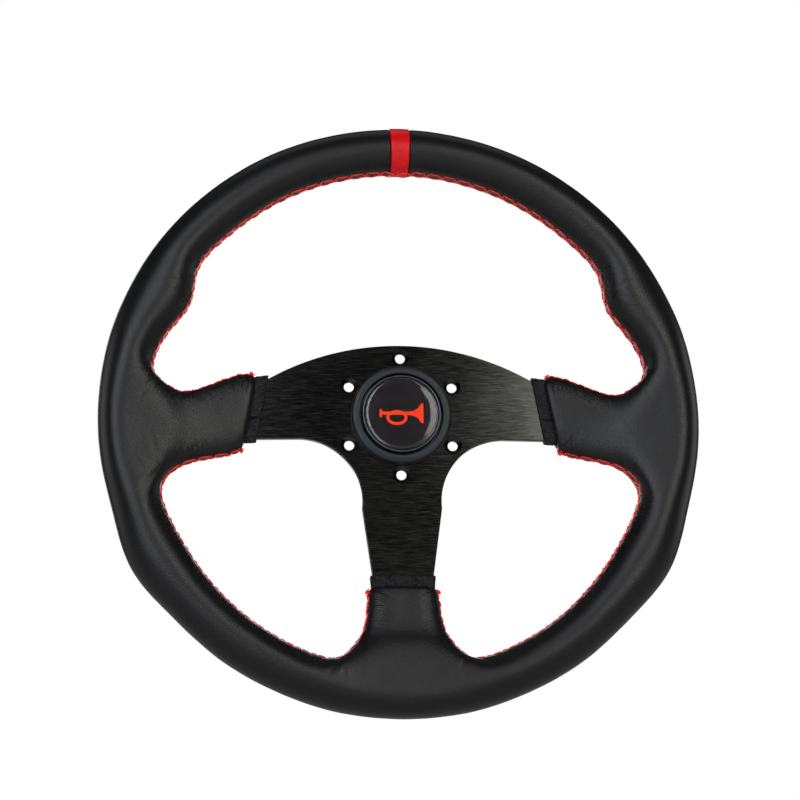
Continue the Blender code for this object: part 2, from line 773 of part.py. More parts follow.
def build():
    aluminium = metal("black anodised aluminium", (0.03, 0.03, 0.03), 0.4)
    steel = metal("zinc plated steel", (0.6, 0.6, 0.6), 0.35)
    brass = metal("brass", (0.8, 0.6, 0.3), 0.3)
    leather = plain("black leather", (0.02, 0.02, 0.022), 0.5)
    red_leather = plain("red leather", (0.6, 0.03, 0.02), 0.4)
    thread = plain("red thread", (0.8, 0.05, 0.02), 0.6)
    foam = plain("grey foam", (0.12, 0.12, 0.12), 0.9)
    nylon = plain("black nylon", (0.04, 0.045, 0.05), 0.4)
    insulator = plain("brown insulating board", (0.2, 0.1, 0.05), 0.6)
    clear = plain("clear resin", (0.8, 0.8, 0.8), 0.05)

    skin = grip_skin()
    leather_wrap(skin, leather)
    centre_marker(red_leather)
    seams(thread)
    spoke_plate(aluminium)
    rim_hoop(aluminium)
    hoop_rivets(steel)
    hoop_space, plate_space, rivet_spaces = foam_spaces()
    rim_foam(skin, hoop_space, plate_space, rivet_spaces, foam)
    collars(plate_space, leather)
    bpy.data.objects.remove(skin, do_unlink=True)

    horn_housing(nylon)
    contact_base(insulator)
    base_screws(steel)
    terminals(brass)
    housing_clips(steel)
    horn_cap(nylon)
    button_face(aluminium, clear)
    contacts(brass)
    return_spring(steel)


PARTS, CUTTERS, AXIS = start_empty()
build()
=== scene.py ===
"""Looks of a three-spoke sport steering wheel: leather, lacing, spokes and horn button.

Every piece is modelled in the wheel's own directions, in millimetres: X to the driver's
right, Y up towards 12 o'clock, Z towards the driver, with Z = 0 at the back of the spoke
plate. STAND then turns a finished piece into the part's frame.
"""

import random
from math import asin, ceil, cos, degrees, pi, radians, sin, sqrt

import bmesh
import bpy
import numpy as np
from bpy.props import FloatProperty, FloatVectorProperty, IntProperty, PointerProperty
from mathutils import Matrix, Vector, noise
from mathutils.kdtree import KDTree


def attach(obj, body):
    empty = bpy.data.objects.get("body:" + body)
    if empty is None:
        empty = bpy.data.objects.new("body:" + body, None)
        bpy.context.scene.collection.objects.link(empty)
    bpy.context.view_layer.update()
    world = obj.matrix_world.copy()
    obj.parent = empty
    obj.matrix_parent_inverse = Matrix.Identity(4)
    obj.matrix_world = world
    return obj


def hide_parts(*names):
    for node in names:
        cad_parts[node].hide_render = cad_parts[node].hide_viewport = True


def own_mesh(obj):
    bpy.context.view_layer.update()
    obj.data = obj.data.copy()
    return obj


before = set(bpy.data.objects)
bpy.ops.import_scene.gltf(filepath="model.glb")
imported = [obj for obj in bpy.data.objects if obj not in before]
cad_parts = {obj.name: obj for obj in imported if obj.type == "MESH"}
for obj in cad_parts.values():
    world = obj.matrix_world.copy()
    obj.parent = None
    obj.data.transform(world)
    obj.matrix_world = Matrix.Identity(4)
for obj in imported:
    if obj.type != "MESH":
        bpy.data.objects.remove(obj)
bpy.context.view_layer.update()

bl_info = {
    "name": "Sport steering wheel looks",
    "version": (1, 0, 0),
    "blender": (4, 5, 0),
    "location": "3D View > Sidebar > Wheel",
    "description": "Leather, lacing, brushed spokes and horn button of a sport steering wheel",
    "category": "Mesh",
}

MM = 0.001
STAND = Matrix.Rotation(radians(90.0), 4, "X")
SHARP = 35.0                    # degrees between faces from which an edge shades as sharp
PLATE_SHARP = 12.0              # sharp bevel steps, so that the flat faces shade as flat

# Rim: the same grip as the part's, by angle clockwise from 12 o'clock, outer and inner radius.
RIM_MID = 10.3
GRIP_DEPTH = 14.0
GRIP_CIRCLE = 161.0
SECTION_POINTS = 6
RIM_STATIONS = [
    (0.0, 175.0, 147.0),
    (16.0, 175.0, 147.0),
    (31.0, 175.0, 147.0),
    (44.0, 175.0, 147.0),
    (54.0, 175.0, 146.3),
    (62.0, 175.0, 138.8),
    (71.0, 175.0, 143.3),
    (79.5, 175.0, 145.8),
    (89.0, 175.0, 147.0),
    (99.5, 175.0, 147.0),
    (109.5, 175.5, 145.6),
    (120.0, 179.0, 146.0),
    (130.0, 177.0, 146.5),
    (141.0, 176.2, 147.5),
    (152.0, 176.0, 148.0),
    (163.0, 176.0, 147.5),
    (171.5, 176.0, 148.0),
    (180.0, 176.0, 148.0),
]
SIDE_FLAP = (7, 10)             # stations that the side flap leaves from
BOTTOM_FLAP = (15, 17)
# Rows of a flap, from the rim to its end: its edges, then its front, edge and back heights.
SIDE_ROWS = [
    ((136.5, 17.0), (131.5, -35.0), 18.5, 9.0, -3.7),
    ((125.0, 12.8), (119.0, -28.8), 15.0, 7.0, -3.7),
    ((108.0, 19.0), (106.0, -26.0), 12.0, 4.8, -3.8),
    ((92.0, 25.0), (95.0, -23.0), 10.0, 3.2, -3.9),
    ((84.0, 23.0), (90.8, -18.5), 8.7, 2.4, -3.9),
]
BOTTOM_ROWS = [
    ((31.5, -136.5), 18.5, 9.0, -3.7),
    ((24.5, -127.0), 15.0, 7.0, -3.7),
    ((21.8, -115.0), 12.0, 4.8, -3.8),
    ((21.0, -105.5), 10.0, 3.2, -3.9),
    ((18.8, -100.3), 8.7, 2.4, -3.9),
]
EDGE_DROP = 1.8
SIDE_FRACTIONS = (0.1, 0.37, 0.63, 0.9)
BOTTOM_FRACTIONS = (0.0, 0.45, 0.84)
FIT_ROUNDS = 12
OUTER_LEVEL = 4                 # how finely the leather's outer and inner sides are divided
INNER_LEVEL = 2

MARKER_HALF_WIDTH = 5.7
MARKER_PROUD = 0.4
MARKER_WALL = 1.3
MARKER_GAP = 0.1

# Spoke plate, as the part has it, with rounder arcs and holes.
PLATE = 4.0
PLATE_TOP = 42.5
TOP_ARC_RADIUS = 154.4
TOP_ARC_END = 84.0
FILLET_CENTRE = (60.0, -51.0)
FILLET_RADIUS = 36.9
SPOKE_END_HALF = 17.4
NECK_Y = -96.5
NECK_HALF = 14.0
PLATE_REACH = 165.0
HOLE_CIRCLE = 35.0
HOLE_COUNT = 6
HOLE_RADIUS = 2.9
SINK_RADIUS = 4.9
SINK_DEPTH = 2.4
HUB_BORE = 26.4
RIVET_ANGLES = (90.0, 97.0, 176.5, 183.5, 263.0, 270.0)
RIVET_HOLE = 2.2

COLLAR_BACK = -1.6
COLLAR_FRONT = 5.6
COLLAR_WALL = 1.2

# Horn button, heights from the plate's back.
BEZEL = 29.4
HOUSING_MOUTH = 24.1
HOUSING_BORE = 24.9
HOUSING_WALL = 25.9
LEDGE_BORE = 20.0
LEDGE_TOP = -6.5
HOUSING_BACK = -10.5
HOUSING_SEAT = 4.3
STOP_TOP = 2.2
CAP_RADIUS = 23.0
CAP_UNDER = 7.4
CAP_FACE = 8.8
SLEEVE_END = -3.6
BASE_TOP = -8.0
BASE_BACK = -13.3
SCREW_CIRCLE = 22.9
TERMINAL_X = 15.5
SPRING_RADIUS = 6.5
SPRING_WIRE = 0.55
SPRING_TURNS = 5.0
TURN_STEPS = 128


# ---- small tools --------------------------------------------------------------------


def colour(text):
    """An sRGB hex colour as linear red, green, blue and 1."""
    channels = [int(text[i:i + 2], 16) / 255.0 for i in (1, 3, 5)]
    linear = [c / 12.92 if c <= 0.04045 else ((c + 0.055) / 1.055) ** 2.4 for c in channels]
    return (*linear, 1.0)


def node(tree, kind, inputs=None, **settings):
    """Add a node to a shader or geometry tree, with its settings, values and links."""
    made = tree.nodes.new(kind)
    for name, value in settings.items():
        setattr(made, name, value)
    for key, value in (inputs or {}).items():
        if isinstance(value, bpy.types.NodeSocket):
            tree.links.new(value, made.inputs[key])
        else:
            made.inputs[key].default_value = value
    return made


def finish_named(name):
    """A new material, its node tree and its empty Principled shader."""
    material = bpy.data.materials.new(name)
    material.use_nodes = True
    tree = material.node_tree
    return material, tree, tree.nodes["Principled BSDF"]


def vector(x, y, z):
    return Vector((x, y, z)) * MM


def clock(angle, radius):
    """A point at an angle in degrees clockwise from 12 o'clock."""
    return radius * sin(radians(angle)), radius * cos(radians(angle))


def arc(centre, radius, start, end, count):
    """Points along an arc, by angles in degrees from +X towards +Y."""
    points = []
    for i in range(count + 1):
        angle = radians(start + (end - start) * i / count)
        points.append((centre[0] + radius * cos(angle), centre[1] + radius * sin(angle)))
    return points


def mirrored(points):
    return [(-x, y) for x, y in reversed(points)]


def add_object(name, data):
    obj = bpy.data.objects.new(name, data)
    bpy.context.scene.collection.objects.link(obj)
    return obj


def mesh_from(bm, name):
    mesh = bpy.data.meshes.new(name)
    bm.to_mesh(mesh)
    bm.free()
    return mesh


def evaluated_mesh(obj):
    """The object's mesh with its modifiers worked out."""
    bpy.context.view_layer.update()
    seen = obj.evaluated_get(bpy.context.evaluated_depsgraph_get())
    return bpy.data.meshes.new_from_object(seen)


def welded(mesh):
    """Join a mesh's loose points and turn its faces outward."""
    bm = bmesh.new()
    bm.from_mesh(mesh)
    bmesh.ops.remove_doubles(bm, verts=bm.verts, dist=0.000002)
    bmesh.ops.recalc_face_normals(bm, faces=bm.faces)
    bm.to_mesh(mesh)
    bm.free()
    return mesh


def as_piece(mesh, name, material, body, nodes=(), sharp=SHARP):
    """Stand a finished mesh in the part's frame, as a piece that rides on a body."""
    mesh.transform(STAND)
    mesh.materials.clear()
    mesh.materials.append(material)
    mesh.shade_smooth()
    mesh.set_sharp_from_angle(angle=radians(sharp))
    piece = add_object(name, mesh)
    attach(piece, body)
    if nodes:
        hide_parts(*nodes)
    return piece


def softened(points, radius, steps=4, closed=False):
    """Round a line's corners with short curves, and hold the flats beside them flat."""
    count = len(points)
    corners = range(count) if closed else range(1, count - 1)
    rounded = [] if closed else [points[0]]
    for i in corners:
        before = Vector(points[i - 1])
        corner = Vector(points[i])
        after = Vector(points[(i + 1) % count])
        reach = min(radius, (before - corner).length * 0.45, (after - corner).length * 0.45)
        back = (before - corner).normalized() * reach
        ahead = (after - corner).normalized() * reach
        rounded.append(tuple(corner + back * 1.1))
        for k in range(steps + 1):
            t = k / steps
            rounded.append(tuple(corner + back * (1 - t) ** 2 + ahead * t ** 2))
        rounded.append(tuple(corner + ahead * 1.1))
    if not closed:
        rounded.append(points[-1])
    return rounded


def turned(profile, steps=TURN_STEPS, centre=(0.0, 0.0)):
    """Turn a profile of (radius, height) points round an axis along Z, into a closed mesh."""
    bm = bmesh.new()
    rings = []
    for radius, height in profile:
        count = 1 if radius == 0.0 else steps
        ring = []
        for i in range(count):
            angle = 2.0 * pi * i / steps
            ring.append(bm.verts.new(vector(centre[0] + radius * cos(angle),
                                            centre[1] + radius * sin(angle), height)))
        rings.append(ring)
    pairs = list(zip(rings, rings[1:]))
    if profile[0][0] > 0.0:
        pairs.append((rings[-1], rings[0]))
    for first, second in pairs:
        for i in range(steps):
            j = (i + 1) % steps
            corners = [first[i % len(first)], first[j % len(first)],
                       second[j % len(second)], second[i % len(second)]]
            corners = list(dict.fromkeys(corners))
            if len(corners) > 2:
                bm.faces.new(corners)
    bmesh.ops.recalc_face_normals(bm, faces=bm.faces)
    return mesh_from(bm, "turned")


def filled(points, back, front, edge=0.0, holes=()):
    """A flat outline extruded between two heights, with rounded edges."""
    curve = bpy.data.curves.new("outline", "CURVE")
    curve.dimensions = "2D"
    curve.fill_mode = "BOTH"
    curve.extrude = (front - back) / 2.0 * MM
    for loop in (points, *holes):
        spline = curve.splines.new("POLY")
        spline.points.add(len(loop) - 1)
        for point, (x, y) in zip(spline.points, loop):
            point.co = (x * MM, y * MM, 0.0, 1.0)
        spline.use_cyclic_u = True
    flat = add_object("outline", curve)
    mesh = welded(evaluated_mesh(flat))
    mesh.transform(Matrix.Translation(vector(0.0, 0.0, (front + back) / 2.0)))
    bpy.data.objects.remove(flat, do_unlink=True)
    if edge:
        mesh = beveled(mesh, edge)
    return mesh


def beveled(mesh, width, segments=3, angle=50.0):
    """Round the sharp edges of a closed mesh."""
    solid = add_object("solid", mesh)
    step = solid.modifiers.new("edges", "BEVEL")
    step.width = width * MM
    step.segments = segments
    step.limit_method = "ANGLE"
    step.angle_limit = radians(angle)
    result = evaluated_mesh(solid)
    bpy.data.objects.remove(solid, do_unlink=True)
    return result


def cut_out(mesh, tools):
    """A mesh with other closed meshes cut out of it."""
    solid = add_object("solid", mesh)
    cutters = []
    for tool in tools:
        cutter = add_object("cutter", tool)
        cutters.append(cutter)
        step = solid.modifiers.new("cut", "BOOLEAN")
        step.operation = "DIFFERENCE"
        step.object = cutter
    result = evaluated_mesh(solid)
    for obj in (solid, *cutters):
        bpy.data.objects.remove(obj, do_unlink=True)
    return result


def tube(bm, points, radius, sides=6, squeeze=1.0):
    """A closed tube of thread through points, with its length and turn as a UV map."""
    layer = bm.loops.layers.uv.get("thread") or bm.loops.layers.uv.new("thread")
    rings = []
    lengths = [0.0]
    for i, point in enumerate(points):
        ahead = points[min(i + 1, len(points) - 1)] - points[max(i - 1, 0)]
        side = ahead.cross(Vector((0.0, 0.0, 1.0)))
        if side.length < 1e-9:
            side = Vector((1.0, 0.0, 0.0))
        side.normalize()
        up = side.cross(ahead).normalized()
        ring = []
        for k in range(sides):
            turn = 2.0 * pi * k / sides
            place = point + side * (radius * cos(turn)) + up * (radius * squeeze * sin(turn))
            ring.append(bm.verts.new(place))
        rings.append(ring)
        if i:
            lengths.append(lengths[-1] + (point - points[i - 1]).length)
    for i in range(len(rings) - 1):
        for k in range(sides):
            j = (k + 1) % sides
            face = bm.faces.new((rings[i][k], rings[i][j], rings[i + 1][j], rings[i + 1][k]))
            corners = ((i, k), (i, k + 1), (i + 1, k + 1), (i + 1, k))
            for loop, (row, turn) in zip(face.loops, corners):
                loop[layer].uv = (lengths[row] / MM, turn / sides)
    bm.faces.new(list(reversed(rings[0])))
    bm.faces.new(rings[-1])


# ---- grip surface -------------------------------------------------------------------


def section(angle, outer, inner):
    """Points round the grip's section, from its outer side over its front."""
    middle = (outer + inner) / 2.0
    half = (outer - inner) / 2.0
    points = []
    for k in range(SECTION_POINTS):
        turn = 2.0 * pi * k / SECTION_POINTS
        x, y = clock(angle, middle + half * cos(turn))
        points.append(vector(x, y, RIM_MID + GRIP_DEPTH * sin(turn)))
    return points


def side_row(upper, lower, front, edge, back):
    """One closed loop round the side flap, from its upper edge over its front."""
    a = Vector(upper)
    b = Vector(lower)
    ends = (SIDE_FRACTIONS[0], SIDE_FRACTIONS[-1])
    loop = [vector(*a, edge)]
    for fraction in SIDE_FRACTIONS:
        drop = EDGE_DROP if fraction in ends else 0.0
        loop.append(vector(*a.lerp(b, fraction), front - drop))
    loop.append(vector(*b, edge))
    for fraction in reversed(SIDE_FRACTIONS):
        drop = EDGE_DROP if fraction in ends else 0.0
        loop.append(vector(*a.lerp(b, fraction), back + drop / 2.0))
    return loop


def bottom_row(corner, front, edge, back):
    """Half a loop round the bottom flap, from the middle of its front."""
    x, y = corner
    half = []
    for fraction in BOTTOM_FRACTIONS:
        drop = EDGE_DROP if fraction == BOTTOM_FRACTIONS[-1] else 0.0
        half.append((fraction * x, drop))
    loop = [vector(px, y, front - drop) for px, drop in half]
    loop.append(vector(x, y, edge))
    loop += [vector(px, y, back + drop / 2.0) for px, drop in reversed(half)]
    return loop


def bridge(bm, first, second, closed, laced=()):
    """Quads between two rows of as many points; the edges between laced points are seams."""
    count = len(first) if closed else len(first) - 1
    for i in range(count):
        j = (i + 1) % len(first)
        bm.faces.new((first[i], first[j], second[j], second[i]))
    for i in laced:
        bm.edges.get((first[i], second[i])).seam = True


def half_grip_cage():
    """The right half of the grip's surface, open at the flaps' ends."""
    bm = bmesh.new()
    rings = [[bm.verts.new(p) for p in section(*station)] for station in RIM_STATIONS]
    open_spans = (range(*SIDE_FLAP), range(*BOTTOM_FLAP))
    for i, (ring, after) in enumerate(zip(rings, rings[1:])):
        in_flap = any(i in span for span in open_spans)
        for k in range(SECTION_POINTS):
            if in_flap and k in (2, 3):
                continue
            j = (k + 1) % SECTION_POINTS
            bm.faces.new((ring[k], ring[j], after[j], after[k]))
        if not in_flap:
            bm.edges.get((ring[3], after[3])).seam = True

    first, last = SIDE_FLAP
    columns = range(first, last + 1)
    row = [rings[first][3]] + [rings[i][2] for i in columns]
    row += [rings[last][3]] + [rings[i][4] for i in reversed(columns)]
    for values in SIDE_ROWS:
        after = [bm.verts.new(p) for p in side_row(*values)]
        bridge(bm, row, after, True, (0, len(columns) + 1))
        row = after

    first, last = BOTTOM_FLAP
    columns = range(last, first - 1, -1)
    row = [rings[i][2] for i in columns] + [rings[first][3]]
    row += [rings[i][4] for i in reversed(columns)]
    for values in BOTTOM_ROWS:
        after = [bm.verts.new(p) for p in bottom_row(*values)]
        bridge(bm, row, after, False, (len(columns),))
        row = after

    loose = [v for v in bm.verts if not v.link_faces]
    bmesh.ops.delete(bm, geom=loose, context="VERTS")
    return mesh_from(bm, "half_grip")


def limit_point(vert):
    """Where a cage point ends up on the smooth surface."""
    if vert.is_boundary:
        ends = [e.other_vert(vert).co for e in vert.link_edges if e.is_boundary]
        return (4.0 * vert.co + ends[0] + ends[1]) / 6.0
    count = len(vert.link_edges)
    near = sum((e.other_vert(vert).co for e in vert.link_edges), Vector())
    beside = {e.other_vert(vert) for e in vert.link_edges} | {vert}
    across = sum((v.co for f in vert.link_faces for v in f.verts if v not in beside),
                 Vector())
    return (count * count * vert.co + 4.0 * near + across) / (count * (count + 5))


def grip_cage():
    """The whole grip's cage, whose smooth surface passes through the points given above."""
    half = add_object("half_grip", half_grip_cage())
    mirror = half.modifiers.new("mirror", "MIRROR")
    mirror.use_clip = True
    mirror.merge_threshold = 0.0001
    mesh = evaluated_mesh(half)
    bpy.data.objects.remove(half, do_unlink=True)
    bm = bmesh.new()
    bm.from_mesh(mesh)
    bmesh.ops.recalc_face_normals(bm, faces=bm.faces)
    widest = max(bm.faces, key=lambda face: face.calc_center_median().length)
    if widest.normal.dot(widest.calc_center_median()) < 0.0:
        bmesh.ops.reverse_faces(bm, faces=bm.faces)
    targets = [v.co.copy() for v in bm.verts]
    for _ in range(FIT_ROUNDS):
        limits = [limit_point(v) for v in bm.verts]
        for vert, target, limit in zip(bm.verts, targets, limits):
            vert.co += target - limit
    bm.to_mesh(mesh)
    bm.free()
    return mesh


def divided(cage, level):
    """The cage's smooth surface."""
    obj = add_object("grip", cage.copy())
    smooth = obj.modifiers.new("smooth", "SUBSURF")
    smooth.levels = level
    smooth.render_levels = level
    mesh = evaluated_mesh(obj)
    bpy.data.objects.remove(obj, do_unlink=True)
    return mesh


def points_of(mesh):
    """A mesh's points and normals as two arrays."""
    count = len(mesh.vertices)
    points = np.zeros(count * 3, np.float32)
    normals = np.zeros(count * 3, np.float32)
    mesh.vertices.foreach_get("co", points)
    mesh.vertices.foreach_get("normal", normals)
    return points.reshape(-1, 3).astype(float), normals.reshape(-1, 3).astype(float)


def set_points(mesh, points):
    mesh.vertices.foreach_set("co", points.astype(np.float32).ravel())
    mesh.update()


def seam_lines(mesh):
    """The three laced lines on the surface: upper, lower left and lower right."""
    linked = {}
    for edge in mesh.edges:
        if edge.use_seam:
            a, b = edge.vertices
            linked.setdefault(a, []).append(b)
            linked.setdefault(b, []).append(a)
    ends = [v for v, near in linked.items() if len(near) == 1]
    lines = {}
    for start in sorted(ends, key=lambda v: mesh.vertices[v].co.x):
        chain = [start]
        before = None
        while True:
            ahead = [v for v in linked[chain[-1]] if v != before]
            if not ahead:
                break
            before = chain[-1]
            chain.append(ahead[0])
        line = np.array([mesh.vertices[v].co for v in chain])
        middle = line.mean(0)
        side = "left" if middle[0] < 0.0 else "right"
        name = "upper" if middle[1] > 0.0 else "lower_" + side
        lines.setdefault(name, line)
    return lines


def along(line):
    """How far each point of a line is from its start."""
    steps = np.linalg.norm(np.diff(line, axis=0), axis=1)
    return np.concatenate(([0.0], np.cumsum(steps)))


def trimmed(line, length):
    """A line without a length at each end."""
    run = along(line)
    at = np.linspace(length, run[-1] - length, len(line))
    return np.stack([np.interp(at, run, line[:, axis]) for axis in range(3)], axis=1)


def nearest_on(lines, points):
    """For each point, how far along the nearest line it is, and its distance from it."""
    samples = [(*p, s) for line in lines for p, s in zip(line, along(line))]
    tree = KDTree(len(samples))
    for i, (x, y, z, _) in enumerate(samples):
        tree.insert((x, y, z), i)
    tree.balance()
    run = np.zeros(len(points))
    off = np.zeros(len(points))
    for i, point in enumerate(points):
        _, index, distance = tree.find(point)
        run[i] = samples[index][3]
        off[i] = distance
    return run, off


# ---- leather ------------------------------------------------------------------------

PLEAT_REACH = 4.6               # how far the lacing's pull shows beside the seam
# Corners of the openings where the leather is gathered: place, spread and count of creases.
CREASE_FANS = [
    ((139.0, 24.0), (-75.0, 60.0), 7),
    ((137.0, -34.0), (-60.0, 70.0), 7),
    ((122.0, 70.0), (-15.0, 75.0), 5),
    ((35.0, -138.0), (-130.0, -20.0), 6),
]


def crease_depth(points):
    """How deep the hand-drawn leather's creases are, fanned out from the openings' corners."""
    rng = random.Random(7)
    depth = np.zeros(len(points))
    for side in (1.0, -1.0):
        for (x, y), (low, high), count in CREASE_FANS:
            for i in range(count):
                angle = radians(low + (high - low) * (i + rng.uniform(0.2, 0.8)) / count)
                start = rng.uniform(1.0, 5.0)
                length = rng.uniform(9.0, 24.0)
                width = rng.uniform(0.8, 1.5)
                bend = rng.uniform(-0.012, 0.012)
                strength = rng.uniform(0.15, 0.38)
                face = rng.choice((1.0, -1.0))
                ahead = np.array([cos(angle) * side, sin(angle)])
                local = points[:, :2] / MM - np.array([x * side, y])
                run = local @ ahead
                across = local @ np.array([-ahead[1], ahead[0]]) - bend * run * run
                t = np.clip((run - start) / length, 0.0, 1.0)
                fade = np.sin(pi * t) ** 0.7
                on_face = (points[:, 2] / MM - RIM_MID) * face > -6.0
                valley = np.exp(-(across / width) ** 2)
                ridge = 0.45 * np.exp(-((np.abs(across) - 1.9 * width) / width) ** 2)
                depth += strength * fade * (valley - ridge) * on_face
    return depth


def drawn_leather(mesh, lines, pitch):
    """Move a smooth skin's points as lacing, hands and stretching move real leather."""
    points, normals = points_of(mesh)
    run, off = nearest_on(list(lines.values()), points)
    run = run / MM
    off = off / MM
    pull = np.exp(-(off / PLEAT_REACH) ** 2)
    pucker = pull * (0.68 + 0.14 * np.cos(2.0 * pi * run / pitch))
    depth = pucker + crease_depth(points) * np.exp(-(off / 26.0) ** 2)
    for i, point in enumerate(points):
        place = Vector(point)
        depth[i] += 0.16 * noise.noise(place * 34.0) + 0.07 * noise.noise(place * 110.0)
    in_marker = (np.abs(points[:, 0]) < (MARKER_HALF_WIDTH + MARKER_GAP) * MM)
    in_marker &= points[:, 1] > 0.1
    depth[in_marker] = 0.0
    set_points(mesh, points - normals * depth[:, None] * MM)
    for name, values in (("seam_run", run), ("seam_off", off)):
        attribute = mesh.attributes.new(name, "FLOAT", "POINT")
        attribute.data.foreach_set("value", values.astype(np.float32))


def open_at_marker(bm, margins):
    """Cut the skin across at 12 o'clock, with extra loops beside each cut."""
    end = (MARKER_HALF_WIDTH + MARKER_GAP) / GRIP_CIRCLE
    for side in (-1.0, 1.0):
        for margin in margins:
            angle = side * (end + margin / GRIP_CIRCLE)
            near = [f for f in bm.faces if f.calc_center_median().y > 0.1
                    and abs(f.calc_center_median().x) < 0.03]
            geom = near + list({e for f in near for e in f.edges})
            geom += list({v for f in near for v in f.verts})
            bmesh.ops.bisect_plane(bm, geom=geom, plane_co=(0.0, 0.0, 0.0),
                                   plane_no=(cos(angle), -sin(angle), 0.0))
    inside = []
    for face in bm.faces:
        middle = face.calc_center_median()
        if middle.y > 0.1 and abs(middle.x) < end * middle.y:
            inside.append(face)
    bmesh.ops.delete(bm, geom=inside, context="FACES")


def border_loops(faces):
    """The open edges of a set of faces, as loops of points."""
    chosen = set(faces)
    border = {e for f in faces for e in f.edges
              if len(e.link_faces) == 1 and e.link_faces[0] in chosen}
    loops = []
    while border:
        edge = next(iter(sorted(border, key=lambda e: e.index)))
        loop = [edge.verts[0]]
        border.discard(edge)
        vert = edge.verts[1]
        while vert is not loop[0]:
            loop.append(vert)
            edge = next(e for e in vert.link_edges if e in border)
            border.discard(edge)
            vert = edge.other_vert(vert)
        loops.append(loop)
    return loops


def join_loops(bm, outer, inner):
    """Close the strip between a fine loop and a coarse one beside it."""
    start = min(range(len(outer)), key=lambda i: (outer[i].co - inner[0].co).length)
    outer = outer[start:] + outer[:start]
    quarter = len(outer) // 4
    ahead = inner[len(inner) // 4].co
    if (outer[quarter].co - ahead).length > (outer[-quarter].co - ahead).length:
        outer = outer[:1] + outer[:0:-1]
    i = j = 0
    while i < len(outer) or j < len(inner):
        a = outer[i % len(outer)]
        b = inner[j % len(inner)]
        next_a = outer[(i + 1) % len(outer)]
        next_b = inner[(j + 1) % len(inner)]
        step_outer = (next_a.co - b.co).length <= (a.co - next_b.co).length
        if j == len(inner) or (step_outer and i < len(outer)):
            bm.faces.new((a, b, next_a))
            i += 1
        else:
            bm.faces.new((a, b, next_b))
            j += 1


def leather_shell(outer, inner, wall, lip):
    """A closed shell from a fine outer skin and a coarse inner one."""
    sides = []
    for mesh, margins in ((outer, (0.0, 0.35, 0.8, 1.6)), (inner, (0.0,))):
        bm = bmesh.new()
        bm.from_mesh(mesh)
        open_at_marker(bm, margins)
        sides.append(bm)
    fine, coarse = sides

    fine.normal_update()
    edge_points = [v for v in fine.verts if v.is_boundary]
    tree = KDTree(len(edge_points))
    for i, vert in enumerate(edge_points):
        tree.insert(vert.co, i)
    tree.balance()
    drops = []
    for vert in fine.verts:
        distance = tree.find(vert.co)[2] / MM
        at_marker = vert.co.y > 0.1 and abs(vert.co.x) < 0.03
        reach = 0.8 if at_marker else lip
        if distance < reach:
            t = 1.0 - distance / reach
            drop = (0.6 if at_marker else wall) * (1.0 - sqrt(1.0 - t * t))
            drops.append((vert, vert.normal.copy() * drop * MM))
    for vert, drop in drops:
        vert.co -= drop

    coarse.normal_update()
    for vert, step in [(v, v.normal * (wall + 0.2) * MM) for v in coarse.verts]:
        vert.co -= step
    bmesh.ops.reverse_faces(coarse, faces=coarse.faces)
    inner_mesh = mesh_from(coarse, "inner_side")
    fine_count = len(fine.faces)
    fine.from_mesh(inner_mesh)
    fine.faces.ensure_lookup_table()
    fine.edges.index_update()
    outside = fine.faces[:fine_count]
    inside = fine.faces[fine_count:]
    inner_loops = border_loops(inside)
    for loop in border_loops(outside):
        middle = sum((v.co for v in loop), Vector()) / len(loop)
        partner = min(inner_loops, key=lambda other: (
            sum((v.co for v in other), Vector()) / len(other) - middle).length)
        join_loops(fine, loop, partner)
    bmesh.ops.recalc_face_normals(fine, faces=fine.faces)
    return mesh_from(fine, "leather_cover")


